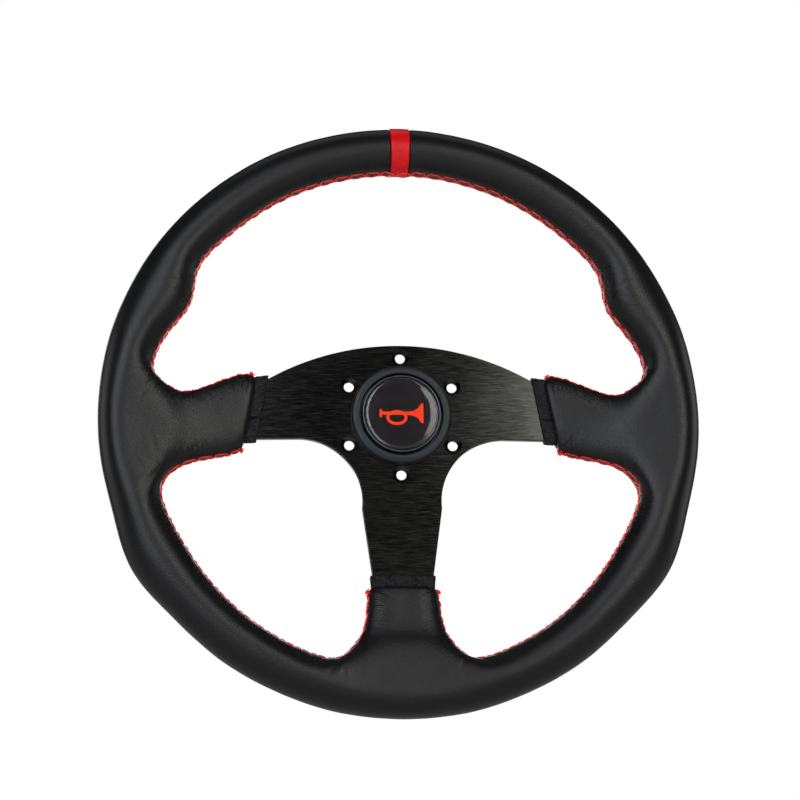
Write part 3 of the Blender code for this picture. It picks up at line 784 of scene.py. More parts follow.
def leather_finish(base, highlight):
    """Pigmented cowhide, semi-matt: fine pebbled grain, paler where it is rubbed, pleated
    beside the lacing."""
    material, tree, shader = finish_named("pigmented black cowhide, semi-matt")
    place = node(tree, "ShaderNodeTexCoord").outputs["Object"]
    # Real grain is about 0.5 mm across; 0.9 mm is the finest that shows.
    grain = node(tree, "ShaderNodeTexVoronoi", {"Vector": place, "Scale": 1.0 / (0.9 * MM)},
                 feature="SMOOTH_F1")
    pores = node(tree, "ShaderNodeTexNoise", {"Vector": place, "Scale": 1.0 / (0.7 * MM),
                                              "Detail": 3.0, "Roughness": 0.6})
    cloud = node(tree, "ShaderNodeTexNoise", {"Vector": place, "Scale": 1.0 / (22.0 * MM),
                                              "Detail": 4.0, "Roughness": 0.55})
    run = node(tree, "ShaderNodeAttribute", attribute_name="seam_run")
    off = node(tree, "ShaderNodeAttribute", attribute_name="seam_off")
    slow = node(tree, "ShaderNodeMath", {0: off.outputs["Fac"], 1: 0.12},
                operation="MULTIPLY")
    flow = node(tree, "ShaderNodeCombineXYZ", {"X": run.outputs["Fac"],
                                               "Y": slow.outputs[0]})
    pleats = node(tree, "ShaderNodeTexNoise", {"Vector": flow.outputs[0], "Scale": 0.75,
                                               "Detail": 2.0, "Roughness": 0.5})
    reach = node(tree, "ShaderNodeMapRange", {"Value": off.outputs["Fac"],
                                              "From Min": 3.0, "From Max": 17.0,
                                              "To Min": 1.0, "To Max": 0.0},
                 interpolation_type="SMOOTHSTEP")
    lines = node(tree, "ShaderNodeMapRange", {"Value": pleats.outputs["Fac"],
                                              "From Min": 0.38, "From Max": 0.62},
                 interpolation_type="SMOOTHSTEP")
    patches = node(tree, "ShaderNodeTexNoise", {"Vector": place, "Scale": 1.0 / (32.0 * MM),
                                                "Detail": 1.0})
    gathered = node(tree, "ShaderNodeMapRange", {"Value": patches.outputs["Fac"],
                                                 "From Min": 0.42, "From Max": 0.62,
                                                 "To Min": 0.12})
    depth = node(tree, "ShaderNodeMath", {0: lines.outputs["Result"],
                                          1: gathered.outputs["Result"]},
                 operation="MULTIPLY")
    near = node(tree, "ShaderNodeMath", {0: depth.outputs[0],
                                         1: reach.outputs["Result"]},
                operation="MULTIPLY")
    tone = node(tree, "ShaderNodeMix", {"Factor": cloud.outputs["Fac"], 6: base,
                                        7: highlight}, data_type="RGBA")
    tree.links.new(tone.outputs[2], shader.inputs["Base Color"])
    rough = node(tree, "ShaderNodeMapRange", {"Value": pores.outputs["Fac"],
                                              "From Min": 0.35, "From Max": 0.65,
                                              "To Min": 0.31, "To Max": 0.44})
    tree.links.new(rough.outputs["Result"], shader.inputs["Roughness"])
    folds = node(tree, "ShaderNodeBump", {"Height": near.outputs[0], "Strength": 1.0,
                                          "Distance": 0.45 * MM})
    pebbles = node(tree, "ShaderNodeBump", {"Height": grain.outputs["Distance"],
                                            "Strength": 0.6, "Distance": 0.09 * MM,
                                            "Normal": folds.outputs[0]})
    skin = node(tree, "ShaderNodeBump", {"Height": pores.outputs["Fac"], "Strength": 0.4,
                                         "Distance": 0.035 * MM,
                                         "Normal": pebbles.outputs[0]})
    tree.links.new(skin.outputs[0], shader.inputs["Normal"])
    shader.inputs["IOR"].default_value = 1.5
    shader.inputs["Specular IOR Level"].default_value = 0.33
    return material


def make_leather(settings, pitch):
    """The leather over the rim and the spokes' ends, and the ground that the lacing lies on."""
    cage = grip_cage()
    outer = divided(cage, OUTER_LEVEL)
    lines = seam_lines(outer)
    drawn_leather(outer, lines, pitch)
    ground = outer.copy()
    ground.name = "lacing_ground"
    points, normals = points_of(ground)
    raised = (np.abs(points[:, 0]) < MARKER_HALF_WIDTH * MM) & (points[:, 1] > 0.1)
    points[raised] += normals[raised] * MARKER_PROUD * MM
    set_points(ground, points)
    shell = leather_shell(outer, divided(cage, INNER_LEVEL), settings.thickness / MM,
                          settings.edge_round / MM)
    finish = leather_finish(settings.colour, settings.worn_colour)
    as_piece(shell, "leather_cover", finish, "wheel", ("leather_wrap",), 70.0)


# ---- centre marker ------------------------------------------------------------------


def marker_finish(base):
    """Red pigmented leather with a semi-gloss top coat."""
    material, tree, shader = finish_named("red pigmented leather, semi-gloss")
    place = node(tree, "ShaderNodeTexCoord").outputs["Object"]
    grain = node(tree, "ShaderNodeTexVoronoi", {"Vector": place, "Scale": 1.0 / (0.9 * MM)},
                 feature="SMOOTH_F1")
    cloud = node(tree, "ShaderNodeTexNoise", {"Vector": place, "Scale": 1.0 / (6.0 * MM),
                                              "Detail": 3.0})
    dark = tuple(c * 0.72 for c in base[:3]) + (1.0,)
    tone = node(tree, "ShaderNodeMix", {"Factor": cloud.outputs["Fac"], 6: base, 7: dark},
                data_type="RGBA")
    tree.links.new(tone.outputs[2], shader.inputs["Base Color"])
    skin = node(tree, "ShaderNodeBump", {"Height": grain.outputs["Distance"],
                                         "Strength": 0.3, "Distance": 0.1 * MM})
    tree.links.new(skin.outputs[0], shader.inputs["Normal"])
    shader.inputs["Roughness"].default_value = 0.36
    shader.inputs["IOR"].default_value = 1.5
    shader.inputs["Specular IOR Level"].default_value = 0.3
    return material


def make_marker(settings):
    """The band at 12 o'clock: its edges tucked down, its face slightly crowned."""
    half = settings.width / MM / 2.0
    outer = []
    steps = 16
    for i in range(steps + 1):
        t = 2.0 * i / steps - 1.0
        t = sin(t * pi / 2.0)
        tuck = max(0.0, (abs(t) - 0.8) / 0.2)
        radius = GRIP_DEPTH + MARKER_PROUD + 0.05 - 1.0 * (1.0 - sqrt(1.0 - tuck * tuck))
        outer.append((t * half, radius))
    inner = [(half, GRIP_DEPTH - MARKER_WALL), (-half, GRIP_DEPTH - MARKER_WALL)]
    profile = outer + inner
    rows = 144
    bm = bmesh.new()
    rings = []
    for k in range(rows):
        turn = 2.0 * pi * k / rows
        ring = []
        for across, radius in profile:
            ripple = 0.09 * noise.noise(Vector((across * 0.35, turn * 5.0, 3.0)))
            from_seam = abs(turn - pi) * GRIP_DEPTH
            dent = 0.35 * np.exp(-(from_seam / 1.2) ** 2)
            reach = radius + (ripple - dent if radius > GRIP_DEPTH - 1.0 else 0.0)
            angle = degrees(across / GRIP_CIRCLE)
            x, y = clock(angle, GRIP_CIRCLE + reach * cos(turn))
            ring.append(bm.verts.new(vector(x, y, RIM_MID + reach * sin(turn))))
        rings.append(ring)
    for first, second in zip(rings, rings[1:] + rings[:1]):
        bridge(bm, first, second, True)
    bmesh.ops.recalc_face_normals(bm, faces=bm.faces)
    as_piece(mesh_from(bm, "marker"), "centre_band", marker_finish(settings.colour),
             "wheel", ("centre_marker",), 60.0)


# ---- lacing -------------------------------------------------------------------------


def thread_finish(base):
    """Bonded polyester thread, waxed: two twisted plies with painted shade between them, and
    a painted red glow, so that it looks brighter than the lamps light it."""
    material, tree, shader = finish_named("waxed polyester lacing thread, twisted")
    along_thread = node(tree, "ShaderNodeUVMap", uv_map="thread")
    parts = node(tree, "ShaderNodeSeparateXYZ", {"Vector": along_thread.outputs[0]})
    # One ply's turn is 1.6 mm long, as on a 0.9 mm thread.
    turns = node(tree, "ShaderNodeMath", {0: parts.outputs["X"], 1: 1.0 / 1.6},
                 operation="MULTIPLY")
    phase = node(tree, "ShaderNodeMath", {0: turns.outputs[0], 1: parts.outputs["Y"]},
                 operation="ADD")
    angle = node(tree, "ShaderNodeMath", {0: phase.outputs[0], 1: 4.0 * pi},
                 operation="MULTIPLY")
    wave = node(tree, "ShaderNodeMath", {0: angle.outputs[0]}, operation="SINE")
    ply = node(tree, "ShaderNodeMapRange", {"Value": wave.outputs[0], "From Min": -1.0,
                                            "From Max": 1.0})
    # Painted shade: the colour darkens where the plies dip, in the grooves between them.
    dark = tuple(c * 0.62 for c in base[:3]) + (1.0,)
    tone = node(tree, "ShaderNodeMix", {"Factor": ply.outputs["Result"], 6: dark, 7: base},
                data_type="RGBA")
    tree.links.new(tone.outputs[2], shader.inputs["Base Color"])
    twist = node(tree, "ShaderNodeBump", {"Height": ply.outputs["Result"],
                                          "Strength": 0.8, "Distance": 0.12 * MM})
    tree.links.new(twist.outputs[0], shader.inputs["Normal"])
    shader.inputs["Roughness"].default_value = 0.45
    shader.inputs["IOR"].default_value = 1.5
    shader.inputs["Specular IOR Level"].default_value = 0.25
    # Painted glow: the thread gives off a little red light of its own, to look brighter than the
    # lamps make it.
    shader.inputs["Emission Color"].default_value = colour("#ff2a08")
    shader.inputs["Emission Strength"].default_value = 0.32
    return material


def stitch_mesh(pitch, dash, half_width, radius):
    """One cell of the lace: a dash on each row, and two strands that cross over the seam."""
    buried = -radius * 1.3
    resting = radius * 0.35
    rows = [half_width, -half_width]
    bm = bmesh.new()
    for row in rows:
        spots = [(0.0, buried), (0.07, -radius * 0.4), (0.2, resting), (0.5, resting * 1.4),
                 (0.8, resting), (0.93, -radius * 0.4), (1.0, buried)]
        tube(bm, [vector(dash * t, row, height) for t, height in spots], radius * MM)
    for row, top in zip(rows, (resting, resting + radius * 1.2)):
        low = -radius * 0.4
        spots = [(0.0, buried), (0.08, low), (0.22, resting), (0.38, (resting + top) / 2.0),
                 (0.5, top), (0.62, (resting + top) / 2.0), (0.78, resting), (0.92, low),
                 (1.0, buried)]
        path = [vector(dash + (pitch - dash) * t, row * (1.0 - 2.0 * t), height)
                for t, height in spots]
        tube(bm, path, radius * MM)
    bmesh.ops.recalc_face_normals(bm, faces=bm.faces)
    return mesh_from(bm, "stitch")


def inputs_of(tree):
    """Each named input's identifier."""
    return {item.name: item.identifier for item in tree.interface.items_tree
            if item.in_out == "INPUT"}


def lacing_tree():
    """Repeat one stitch along a seam and lay every strand on the leather under it."""
    tree = bpy.data.node_groups.new("lacing_on_a_seam", "GeometryNodeTree")
    tree.is_modifier = True
    for name, kind in (("Seam", "NodeSocketGeometry"), ("Stitch", "NodeSocketObject"),
                       ("Ground", "NodeSocketObject"), ("Pitch", "NodeSocketFloat"),
                       ("Thread", "NodeSocketMaterial")):
        tree.interface.new_socket(name, in_out="INPUT", socket_type=kind)
    tree.interface.new_socket("Lacing", in_out="OUTPUT", socket_type="NodeSocketGeometry")
    given = node(tree, "NodeGroupInput").outputs

    seam = node(tree, "GeometryNodeMeshToCurve", {"Mesh": given["Seam"]})
    length = node(tree, "GeometryNodeCurveLength", {"Curve": seam.outputs[0]})
    ratio = node(tree, "ShaderNodeMath", {0: length.outputs[0], 1: given["Pitch"]},
                 operation="DIVIDE")
    count = node(tree, "ShaderNodeMath", {0: ratio.outputs[0]}, operation="ROUND")
    step = node(tree, "ShaderNodeMath", {0: length.outputs[0], 1: count.outputs[0]},
                operation="DIVIDE")
    stretch = node(tree, "ShaderNodeMath", {0: step.outputs[0], 1: given["Pitch"]},
                   operation="DIVIDE")
    offset = node(tree, "ShaderNodeCombineXYZ", {"X": step.outputs[0]})
    line = node(tree, "GeometryNodeMeshLine", {"Count": count.outputs[0],
                                               "Offset": offset.outputs[0]})
    stitch = node(tree, "GeometryNodeObjectInfo", {"Object": given["Stitch"]})
    scale = node(tree, "ShaderNodeCombineXYZ", {"X": stretch.outputs[0], "Y": 1.0, "Z": 1.0})
    row = node(tree, "GeometryNodeInstanceOnPoints", {
        "Points": line.outputs[0], "Instance": stitch.outputs["Geometry"],
        "Scale": scale.outputs[0]})
    real = node(tree, "GeometryNodeRealizeInstances", {"Geometry": row.outputs[0]})

    place = node(tree, "GeometryNodeInputPosition")
    parts = node(tree, "ShaderNodeSeparateXYZ", {"Vector": place.outputs[0]})
    factor = node(tree, "ShaderNodeMath", {0: parts.outputs["X"], 1: length.outputs[0]},
                  operation="DIVIDE")
    on_seam = node(tree, "GeometryNodeSampleCurve", {"Curves": seam.outputs[0],
                                                     "Factor": factor.outputs[0]},
                   mode="FACTOR")
    ground = node(tree, "GeometryNodeObjectInfo", {"Object": given["Ground"]})
    normal = node(tree, "GeometryNodeInputNormal")
    here = node(tree, "GeometryNodeInputPosition")
    up = node(tree, "GeometryNodeSampleNearestSurface", {
        "Mesh": ground.outputs["Geometry"], "Value": normal.outputs[0],
        "Sample Position": on_seam.outputs["Position"]}, data_type="FLOAT_VECTOR")
    cross = node(tree, "ShaderNodeVectorMath", {0: up.outputs[0],
                                                1: on_seam.outputs["Tangent"]},
                 operation="CROSS_PRODUCT")
    across = node(tree, "ShaderNodeVectorMath", {0: cross.outputs[0]},
                  operation="NORMALIZE")
    beside = node(tree, "ShaderNodeVectorMath", {0: across.outputs[0],
                                                 "Scale": parts.outputs["Y"]},
                  operation="SCALE")
    aim = node(tree, "ShaderNodeVectorMath", {0: on_seam.outputs["Position"],
                                              1: beside.outputs[0]}, operation="ADD")
    touch = node(tree, "GeometryNodeSampleNearestSurface", {
        "Mesh": ground.outputs["Geometry"], "Value": here.outputs[0],
        "Sample Position": aim.outputs[0]}, data_type="FLOAT_VECTOR")
    out = node(tree, "GeometryNodeSampleNearestSurface", {
        "Mesh": ground.outputs["Geometry"], "Value": normal.outputs[0],
        "Sample Position": aim.outputs[0]}, data_type="FLOAT_VECTOR")
    lift = node(tree, "ShaderNodeVectorMath", {0: out.outputs[0],
                                               "Scale": parts.outputs["Z"]},
                operation="SCALE")
    final = node(tree, "ShaderNodeVectorMath", {0: touch.outputs[0], 1: lift.outputs[0]},
                 operation="ADD")
    laid = node(tree, "GeometryNodeSetPosition", {"Geometry": real.outputs[0],
                                                  "Position": final.outputs[0]})
    painted = node(tree, "GeometryNodeSetMaterial", {"Geometry": laid.outputs[0],
                                                     "Material": given["Thread"]})
    node(tree, "NodeGroupOutput", {"Lacing": painted.outputs[0]})
    return tree


def knot_mesh(radius):
    """A small knot: three turns round the lace's end, and a short tail."""
    bm = bmesh.new()
    turns = 3
    coil = []
    for i in range(turns * 14 + 1):
        angle = 2.0 * pi * i / 14
        coil.append(vector((i / 14 - turns / 2.0) * radius * 1.9,
                           radius * 1.7 * cos(angle), radius * (1.9 + 1.7 * sin(angle))))
    tube(bm, coil, radius * MM)
    tail = [(-1.0, 0.0, 0.5), (0.4, 0.1, 1.7), (2.4, -0.2, 2.0), (4.0, -1.0, 1.2),
            (5.2, -2.2, 0.9)]
    tube(bm, [vector(*(radius * c for c in point)) for point in tail], radius * MM)
    bmesh.ops.recalc_face_normals(bm, faces=bm.faces)
    return mesh_from(bm, "knot")


def tie_ends(lace, line, ground, knot):
    """Add a knot on each end of a lace, flat on the leather."""
    bm = bmesh.new()
    bm.from_mesh(lace)
    points, normals = points_of(ground)
    for end, inward in ((line[0], line[4]), (line[-1], line[-5])):
        nearest = int(np.argmin(np.linalg.norm(points - end, axis=1)))
        up = Vector(normals[nearest])
        ahead = Vector(end) - Vector(inward)
        ahead = (ahead - up * ahead.dot(up)).normalized()
        side = up.cross(ahead)
        turn = Matrix((ahead, side, up)).transposed().to_4x4()
        placed = knot.copy()
        placed.transform(Matrix.Translation(Vector(points[nearest])) @ turn)
        bm.from_mesh(placed)
    bm.to_mesh(lace)
    bm.free()
    return lace


def make_lacing(settings):
    """Three laces along the openings, each with its knots."""
    pitch = settings.pitch / MM
    radius = settings.thread / MM / 2.0
    ground = add_object("lacing_ground", bpy.data.meshes["lacing_ground"])
    stitch = add_object("stitch", stitch_mesh(pitch, settings.dash / MM,
                                              settings.width / MM / 2.0, radius))
    finish = thread_finish(settings.colour)
    tree = lacing_tree()
    sockets = inputs_of(tree)
    knot = knot_mesh(radius)
    for name, line in seam_lines(ground.data).items():
        line = trimmed(line, settings.end_gap)
        seam_mesh = bpy.data.meshes.new("seam")
        seam_mesh.from_pydata([tuple(p) for p in line],
                              [(i, i + 1) for i in range(len(line) - 1)], [])
        seam = add_object("seam", seam_mesh)
        step = seam.modifiers.new("lacing", "NODES")
        step.node_group = tree
        step[sockets["Stitch"]] = stitch
        step[sockets["Ground"]] = ground
        step[sockets["Pitch"]] = settings.pitch
        step[sockets["Thread"]] = finish
        lace = evaluated_mesh(seam)
        bpy.data.objects.remove(seam, do_unlink=True)
        lace = tie_ends(lace, line, ground.data, knot)
        as_piece(lace, f"lacing_{name}", finish, "wheel",
                 (f"seam_thread_{name}",), 60.0)
    for obj in (stitch, ground):
        bpy.data.objects.remove(obj, do_unlink=True)


# ---- collars ------------------------------------------------------------------------


def collar_finish(base):
    """Thin skived leather, glued down and wrinkled across the strip; its colour is painted
    paler on the wrinkles' ridges and darker in their hollows, as painted shade.
    """
    material, tree, shader = finish_named("skived black leather strip, wrinkled")
    place = node(tree, "ShaderNodeTexCoord").outputs["Object"]
    wrinkles = node(tree, "ShaderNodeTexNoise", {"Vector": place, "Scale": 1.0 / (1.5 * MM),
                                                 "Detail": 3.0, "Roughness": 0.65})
    rough = node(tree, "ShaderNodeMapRange", {"Value": wrinkles.outputs["Fac"],
                                              "From Min": 0.3, "From Max": 0.7,
                                              "To Min": 0.34, "To Max": 0.56})
    # Painted shade: the same noise that raises the wrinkles makes the colour paler on their
    # ridges and darker in their hollows.
    pale = tuple(c * 1.8 for c in base[:3]) + (1.0,)
    tone = node(tree, "ShaderNodeMix", {"Factor": wrinkles.outputs["Fac"], 6: base, 7: pale},
                data_type="RGBA")
    tree.links.new(tone.outputs[2], shader.inputs["Base Color"])
    tree.links.new(rough.outputs["Result"], shader.inputs["Roughness"])
    skin = node(tree, "ShaderNodeBump", {"Height": wrinkles.outputs["Fac"],
                                         "Strength": 1.0, "Distance": 1.1 * MM})
    tree.links.new(skin.outputs[0], shader.inputs["Normal"])
    shader.inputs["Specular IOR Level"].default_value = 0.3
    return material


def around_spoke(width, radius, count):
    """Points and outward directions round a spoke's section, by distance across it."""
    low, high = COLLAR_BACK + radius, COLLAR_FRONT - radius
    near, far = radius, width - radius
    flat = width - 2.0 * radius
    rise = high - low
    bend = pi / 2.0 * radius
    total = 2.0 * (flat + rise) + 4.0 * bend
    places = []
    for i in range(count):
        s = total * i / count
        for corner, direction, straight in (((near, high), 90.0, flat),
                                            ((far, high), 0.0, rise),
                                            ((far, low), -90.0, flat),
                                            ((near, low), -180.0, rise)):
            angle = radians(direction)
            out = (cos(angle), sin(angle))
            if s < straight:
                go = (sin(angle), -cos(angle))
                places.append(((corner[0] + out[0] * radius + go[0] * s,
                                corner[1] + out[1] * radius + go[1] * s), out))
                break
            s -= straight
            if s < bend:
                turn = angle - s / radius
                out = (cos(turn), sin(turn))
                hub = (corner[0] + sin(angle) * straight, corner[1] - cos(angle) * straight)
                places.append(((hub[0] + out[0] * radius, hub[1] + out[1] * radius), out))
                break
            s -= bend
    return places


def collar_mesh(hub_side, flap_side):
    """A wrinkled strip round a spoke, between the line on its hub side and the other."""
    a0, a1 = (Vector(p) for p in hub_side)
    b0, b1 = (Vector(p) for p in flap_side)
    width = (a1 - a0).length
    profile = [(0.0, -0.5), (0.02, -0.2), (0.06, -0.04)]
    profile += [(0.06 + 0.88 * i / 8, 0.0) for i in range(1, 8)]
    profile += [(0.94, -0.04), (0.98, -0.2), (1.0, -0.5), (1.0, -COLLAR_WALL),
                (0.0, -COLLAR_WALL)]
    bm = bmesh.new()
    rings = []
    for (reach, height), (out_reach, out_height) in around_spoke(width, 1.4, 300):
        ring = []
        for v, inset in profile:
            t = reach / width
            edge = 0.045 * noise.noise(Vector((reach * 0.5, height * 0.5, 9.0 + round(v))))
            place = a0.lerp(a1, t).lerp(b0.lerp(b1, t), v + edge)
            crinkle = 0.0
            if inset > -COLLAR_WALL:
                spot = Vector((reach * 1.1, v * 2.4, height * 1.1))
                fold = 1.0 - 2.0 * abs(noise.noise(spot))
                crinkle = 0.5 * (fold - 0.85) + 0.22 * noise.noise(spot * 2.4)
            push = inset + crinkle
            t_push = (reach + out_reach * push) / width
            place = a0.lerp(a1, t_push).lerp(b0.lerp(b1, t_push), v + edge)
            ring.append(bm.verts.new(vector(place.x, place.y, height + out_height * push)))
        rings.append(ring)
    for first, second in zip(rings, rings[1:] + rings[:1]):
        bridge(bm, first, second, True)
    bmesh.ops.recalc_face_normals(bm, faces=bm.faces)
    return mesh_from(bm, "collar")


def make_collars(settings):
    """The strip round each spoke, tucked under the leather's end."""
    finish = collar_finish(settings.collar_colour)
    hub_side = [(77.3, 23.6), (84.4, -16.2)]
    flap_side = [(85.6, 22.5), (92.0, -16.4)]
    shapes = {
        "right": (hub_side, flap_side),
        "left": ([(-x, y) for x, y in hub_side], [(-x, y) for x, y in flap_side]),
        "bottom": ([(-18.8, -94.2), (18.8, -94.2)], [(-18.3, -102.2), (18.3, -102.2)]),
    }
    for name, lines in shapes.items():
        as_piece(collar_mesh(*lines), f"spoke_collar_{name}", finish, "wheel",
                 (f"collar_{name}",), 70.0)


# ---- spokes -------------------------------------------------------------------------


def brushed_finish(base, light):
    """Aluminium sheet brushed crosswise, then black anodised: long fine streaks, a sheen
    that spreads across them."""
    material, tree, shader = finish_named("brushed aluminium, black anodised")
    place = node(tree, "ShaderNodeTexCoord").outputs["Object"]
    # The abrasive leaves lines of 0.1 to 0.3 mm; 0.55 mm is the finest that shows.
    long_lines = node(tree, "ShaderNodeMapping", {
        "Vector": place, "Scale": (1.0 / 0.009, 1.0 / 0.02, 1.0 / (0.55 * MM))})
    streaks = node(tree, "ShaderNodeTexNoise", {"Vector": long_lines.outputs[0],
                                                "Scale": 1.0, "Detail": 3.0,
                                                "Roughness": 0.6})
    cloud = node(tree, "ShaderNodeTexNoise", {"Vector": place, "Scale": 1.0 / 0.03,
                                              "Detail": 2.0})
    mixed = node(tree, "ShaderNodeMath", {0: cloud.outputs["Fac"], 1: 0.3,
                                          2: streaks.outputs["Fac"]},
                 operation="MULTIPLY_ADD")
    share = node(tree, "ShaderNodeMapRange", {"Value": mixed.outputs[0], "From Min": 0.45,
                                              "From Max": 0.85})
    tone = node(tree, "ShaderNodeMix", {"Factor": share.outputs["Result"], 6: base,
                                        7: light}, data_type="RGBA")
    tree.links.new(tone.outputs[2], shader.inputs["Base Color"])
    rough = node(tree, "ShaderNodeMapRange", {"Value": streaks.outputs["Fac"],
                                              "From Min": 0.3, "From Max": 0.7,
                                              "To Min": 0.19, "To Max": 0.28})
    tree.links.new(rough.outputs["Result"], shader.inputs["Roughness"])
    lines = node(tree, "ShaderNodeBump", {"Height": streaks.outputs["Fac"],
                                          "Strength": 0.5, "Distance": 0.04 * MM})
    tree.links.new(lines.outputs[0], shader.inputs["Normal"])
    across_lines = node(tree, "ShaderNodeTangent", direction_type="UV_MAP",
                        uv_map="brushing")
    tree.links.new(across_lines.outputs[0], shader.inputs["Tangent"])
    shader.inputs["Metallic"].default_value = 1.0
    shader.inputs["Anisotropic"].default_value = 0.92
    return material


def plate_points():
    """The spoke plate's outline, from the top middle clockwise."""
    top_centre = (0.0, PLATE_TOP - TOP_ARC_RADIUS)
    sweep = degrees(asin(TOP_ARC_END / TOP_ARC_RADIUS))
    half = arc(top_centre, TOP_ARC_RADIUS, 90.0, 90.0 - sweep, 40)
    half += [(120.0, 6.0), (150.0, 3.0)]
    half += arc((0.0, 0.0), PLATE_REACH, 1.0, -8.0, 6)
    half += [(120.0, -21.5), (92.0, -14.6)]
    half += arc(FILLET_CENTRE, FILLET_RADIUS, 90.0, 186.0, 48)
    half += [(SPOKE_END_HALF, NECK_Y), (NECK_HALF, NECK_Y - 2.0)]
    half += arc((0.0, 0.0), PLATE_REACH, -85.0, -90.0, 4)
    return half + mirrored(half)[1:-1]


def add_planar_map(mesh, name):
    """A UV map whose U runs across the brush lines, which is how their sheen spreads."""
    layer = mesh.uv_layers.new(name=name)
    for loop in mesh.loops:
        point = mesh.vertices[loop.vertex_index].co
        layer.data[loop.index].uv = (point.y * 10.0, -point.x * 10.0)


def make_spokes(settings):
    """The plate with its bore, six countersunk holes and, under the leather, rivet holes."""
    edge = settings.edge / MM
    plate = filled(plate_points(), 0.0, PLATE)
    bm = bmesh.new()
    bm.from_mesh(plate)
    bmesh.ops.dissolve_limit(bm, angle_limit=radians(1.0), verts=bm.verts, edges=bm.edges)
    plate = beveled(mesh_from(bm, "plate"), edge, 3)
    cutters = [turned([(0.0, 9.0), (HUB_BORE, 9.0), (HUB_BORE, -5.0), (0.0, -5.0)], 96)]
    lip = 0.25
    sink = [(0.0, PLATE + 1.0), (SINK_RADIUS + 1.0 + lip, PLATE + 1.0),
            (SINK_RADIUS, PLATE - lip), (SINK_RADIUS, PLATE - 0.5),
            (HOLE_RADIUS, PLATE - SINK_DEPTH), (HOLE_RADIUS, lip),
            (HOLE_RADIUS + lip + 0.5, -0.5), (0.0, -0.5)]
    for i in range(HOLE_COUNT):
        cutters.append(turned(sink, 48, clock(360.0 * i / HOLE_COUNT, HOLE_CIRCLE)))
    for angle in RIVET_ANGLES:
        cutters.append(turned([(0.0, PLATE + 1.0), (RIVET_HOLE, PLATE + 1.0),
                               (RIVET_HOLE, 1.4), (3.4, 0.0), (3.4, -1.0), (0.0, -1.0)],
                              24, clock(angle, GRIP_CIRCLE)))
    plate = cut_out(plate, cutters)
    add_planar_map(plate, "brushing")
    as_piece(plate, "spokes", brushed_finish(settings.colour, settings.streak_colour),
             "wheel", ("spoke_plate",), PLATE_SHARP)


# ---- horn button --------------------------------------------------------------------


def satin_finish(name, base, low, high):
    """A satin surface: fine spark texture in the gloss, faint marks from hands."""
    material, tree, shader = finish_named(name)
    place = node(tree, "ShaderNodeTexCoord").outputs["Object"]
    # Spark texture is about 0.1 mm; 0.4 mm is the finest that shows.
    spark = node(tree, "ShaderNodeTexNoise", {"Vector": place, "Scale": 1.0 / (0.4 * MM),
                                              "Detail": 2.0, "Roughness": 0.6})
    cloud = node(tree, "ShaderNodeTexNoise", {"Vector": place, "Scale": 1.0 / (7.0 * MM),
                                              "Detail": 3.0})
    rough = node(tree, "ShaderNodeMapRange", {"Value": cloud.outputs["Fac"],
                                              "From Min": 0.3, "From Max": 0.7,
                                              "To Min": low, "To Max": high})
    pale = tuple(min(1.0, c * 1.25) for c in base[:3]) + (1.0,)
    tone = node(tree, "ShaderNodeMix", {"Factor": cloud.outputs["Fac"], 6: base, 7: pale},
                data_type="RGBA")
    tree.links.new(tone.outputs[2], shader.inputs["Base Color"])
    tree.links.new(rough.outputs["Result"], shader.inputs["Roughness"])
    skin = node(tree, "ShaderNodeBump", {"Height": spark.outputs["Fac"], "Strength": 0.25,
                                         "Distance": 0.05 * MM})
    tree.links.new(skin.outputs[0], shader.inputs["Normal"])
    shader.inputs["Specular IOR Level"].default_value = 0.35
    return material


def dome_finish():
    """Clear polyurethane doming resin: wet gloss, and the print shows through it."""
    material, tree, shader = finish_named("clear polyurethane doming resin")
    place = node(tree, "ShaderNodeTexCoord").outputs["Object"]
    haze = node(tree, "ShaderNodeTexNoise", {"Vector": place, "Scale": 1.0 / (5.0 * MM),
                                             "Detail": 3.0})
    rough = node(tree, "ShaderNodeMapRange", {"Value": haze.outputs["Fac"],
                                              "To Min": 0.05, "To Max": 0.11})
    tree.links.new(rough.outputs["Result"], shader.inputs["Roughness"])
    shader.inputs["Base Color"].default_value = colour("#f4f4f6")
    shader.inputs["Transmission Weight"].default_value = 1.0
    shader.inputs["IOR"].default_value = 1.5
    ray = node(tree, "ShaderNodeLightPath")
    clear = node(tree, "ShaderNodeBsdfTransparent", {"Color": colour("#f4f4f6")})
    mixed = node(tree, "ShaderNodeMixShader", {0: ray.outputs["Is Shadow Ray"],
                                               1: shader.outputs[0], 2: clear.outputs[0]})
    tree.links.new(mixed.outputs[0], tree.nodes["Material Output"].inputs["Surface"])
    return material


def horn_sign(size):
    """The bugle that stands for a horn: a tube with its bell, and the loop round it."""
    bell = arc((4.2, 6.9), 5.8, -95.0, -20.0, 10)
    body = [(-10.2, 0.8), (2.6, 0.8), *bell[1:], (11.0, 5.3)]
    body += [(11.0, -5.3)] + [(x, -y) for x, y in reversed(bell[1:])]
    body += [(2.6, -0.8), (-10.2, -0.8), (-10.2, -2.1), (-11.4, -2.1), (-11.4, 2.1),
             (-10.2, 2.1)]
    loop = [(-2.6 + 5.4 * cos(t), -2.3 + 3.9 * sin(t))
            for t in (2.0 * pi * i / 48 for i in range(48))]
    gap = [(-2.6 + 3.9 * cos(t), -2.3 + 2.4 * sin(t))
           for t in (2.0 * pi * i / 48 for i in range(48))]
    scale = size / 22.4
    bm = bmesh.new()
    for points, holes, front in ((body, (), 9.62), (loop, (gap,), 9.60)):
        points = [(x * scale, y * scale) for x, y in points]
        holes = [[(x * scale, y * scale) for x, y in hole] for hole in holes]
        bm.from_mesh(filled(points, 9.45, front, holes=holes))
    return mesh_from(bm, "horn_sign")


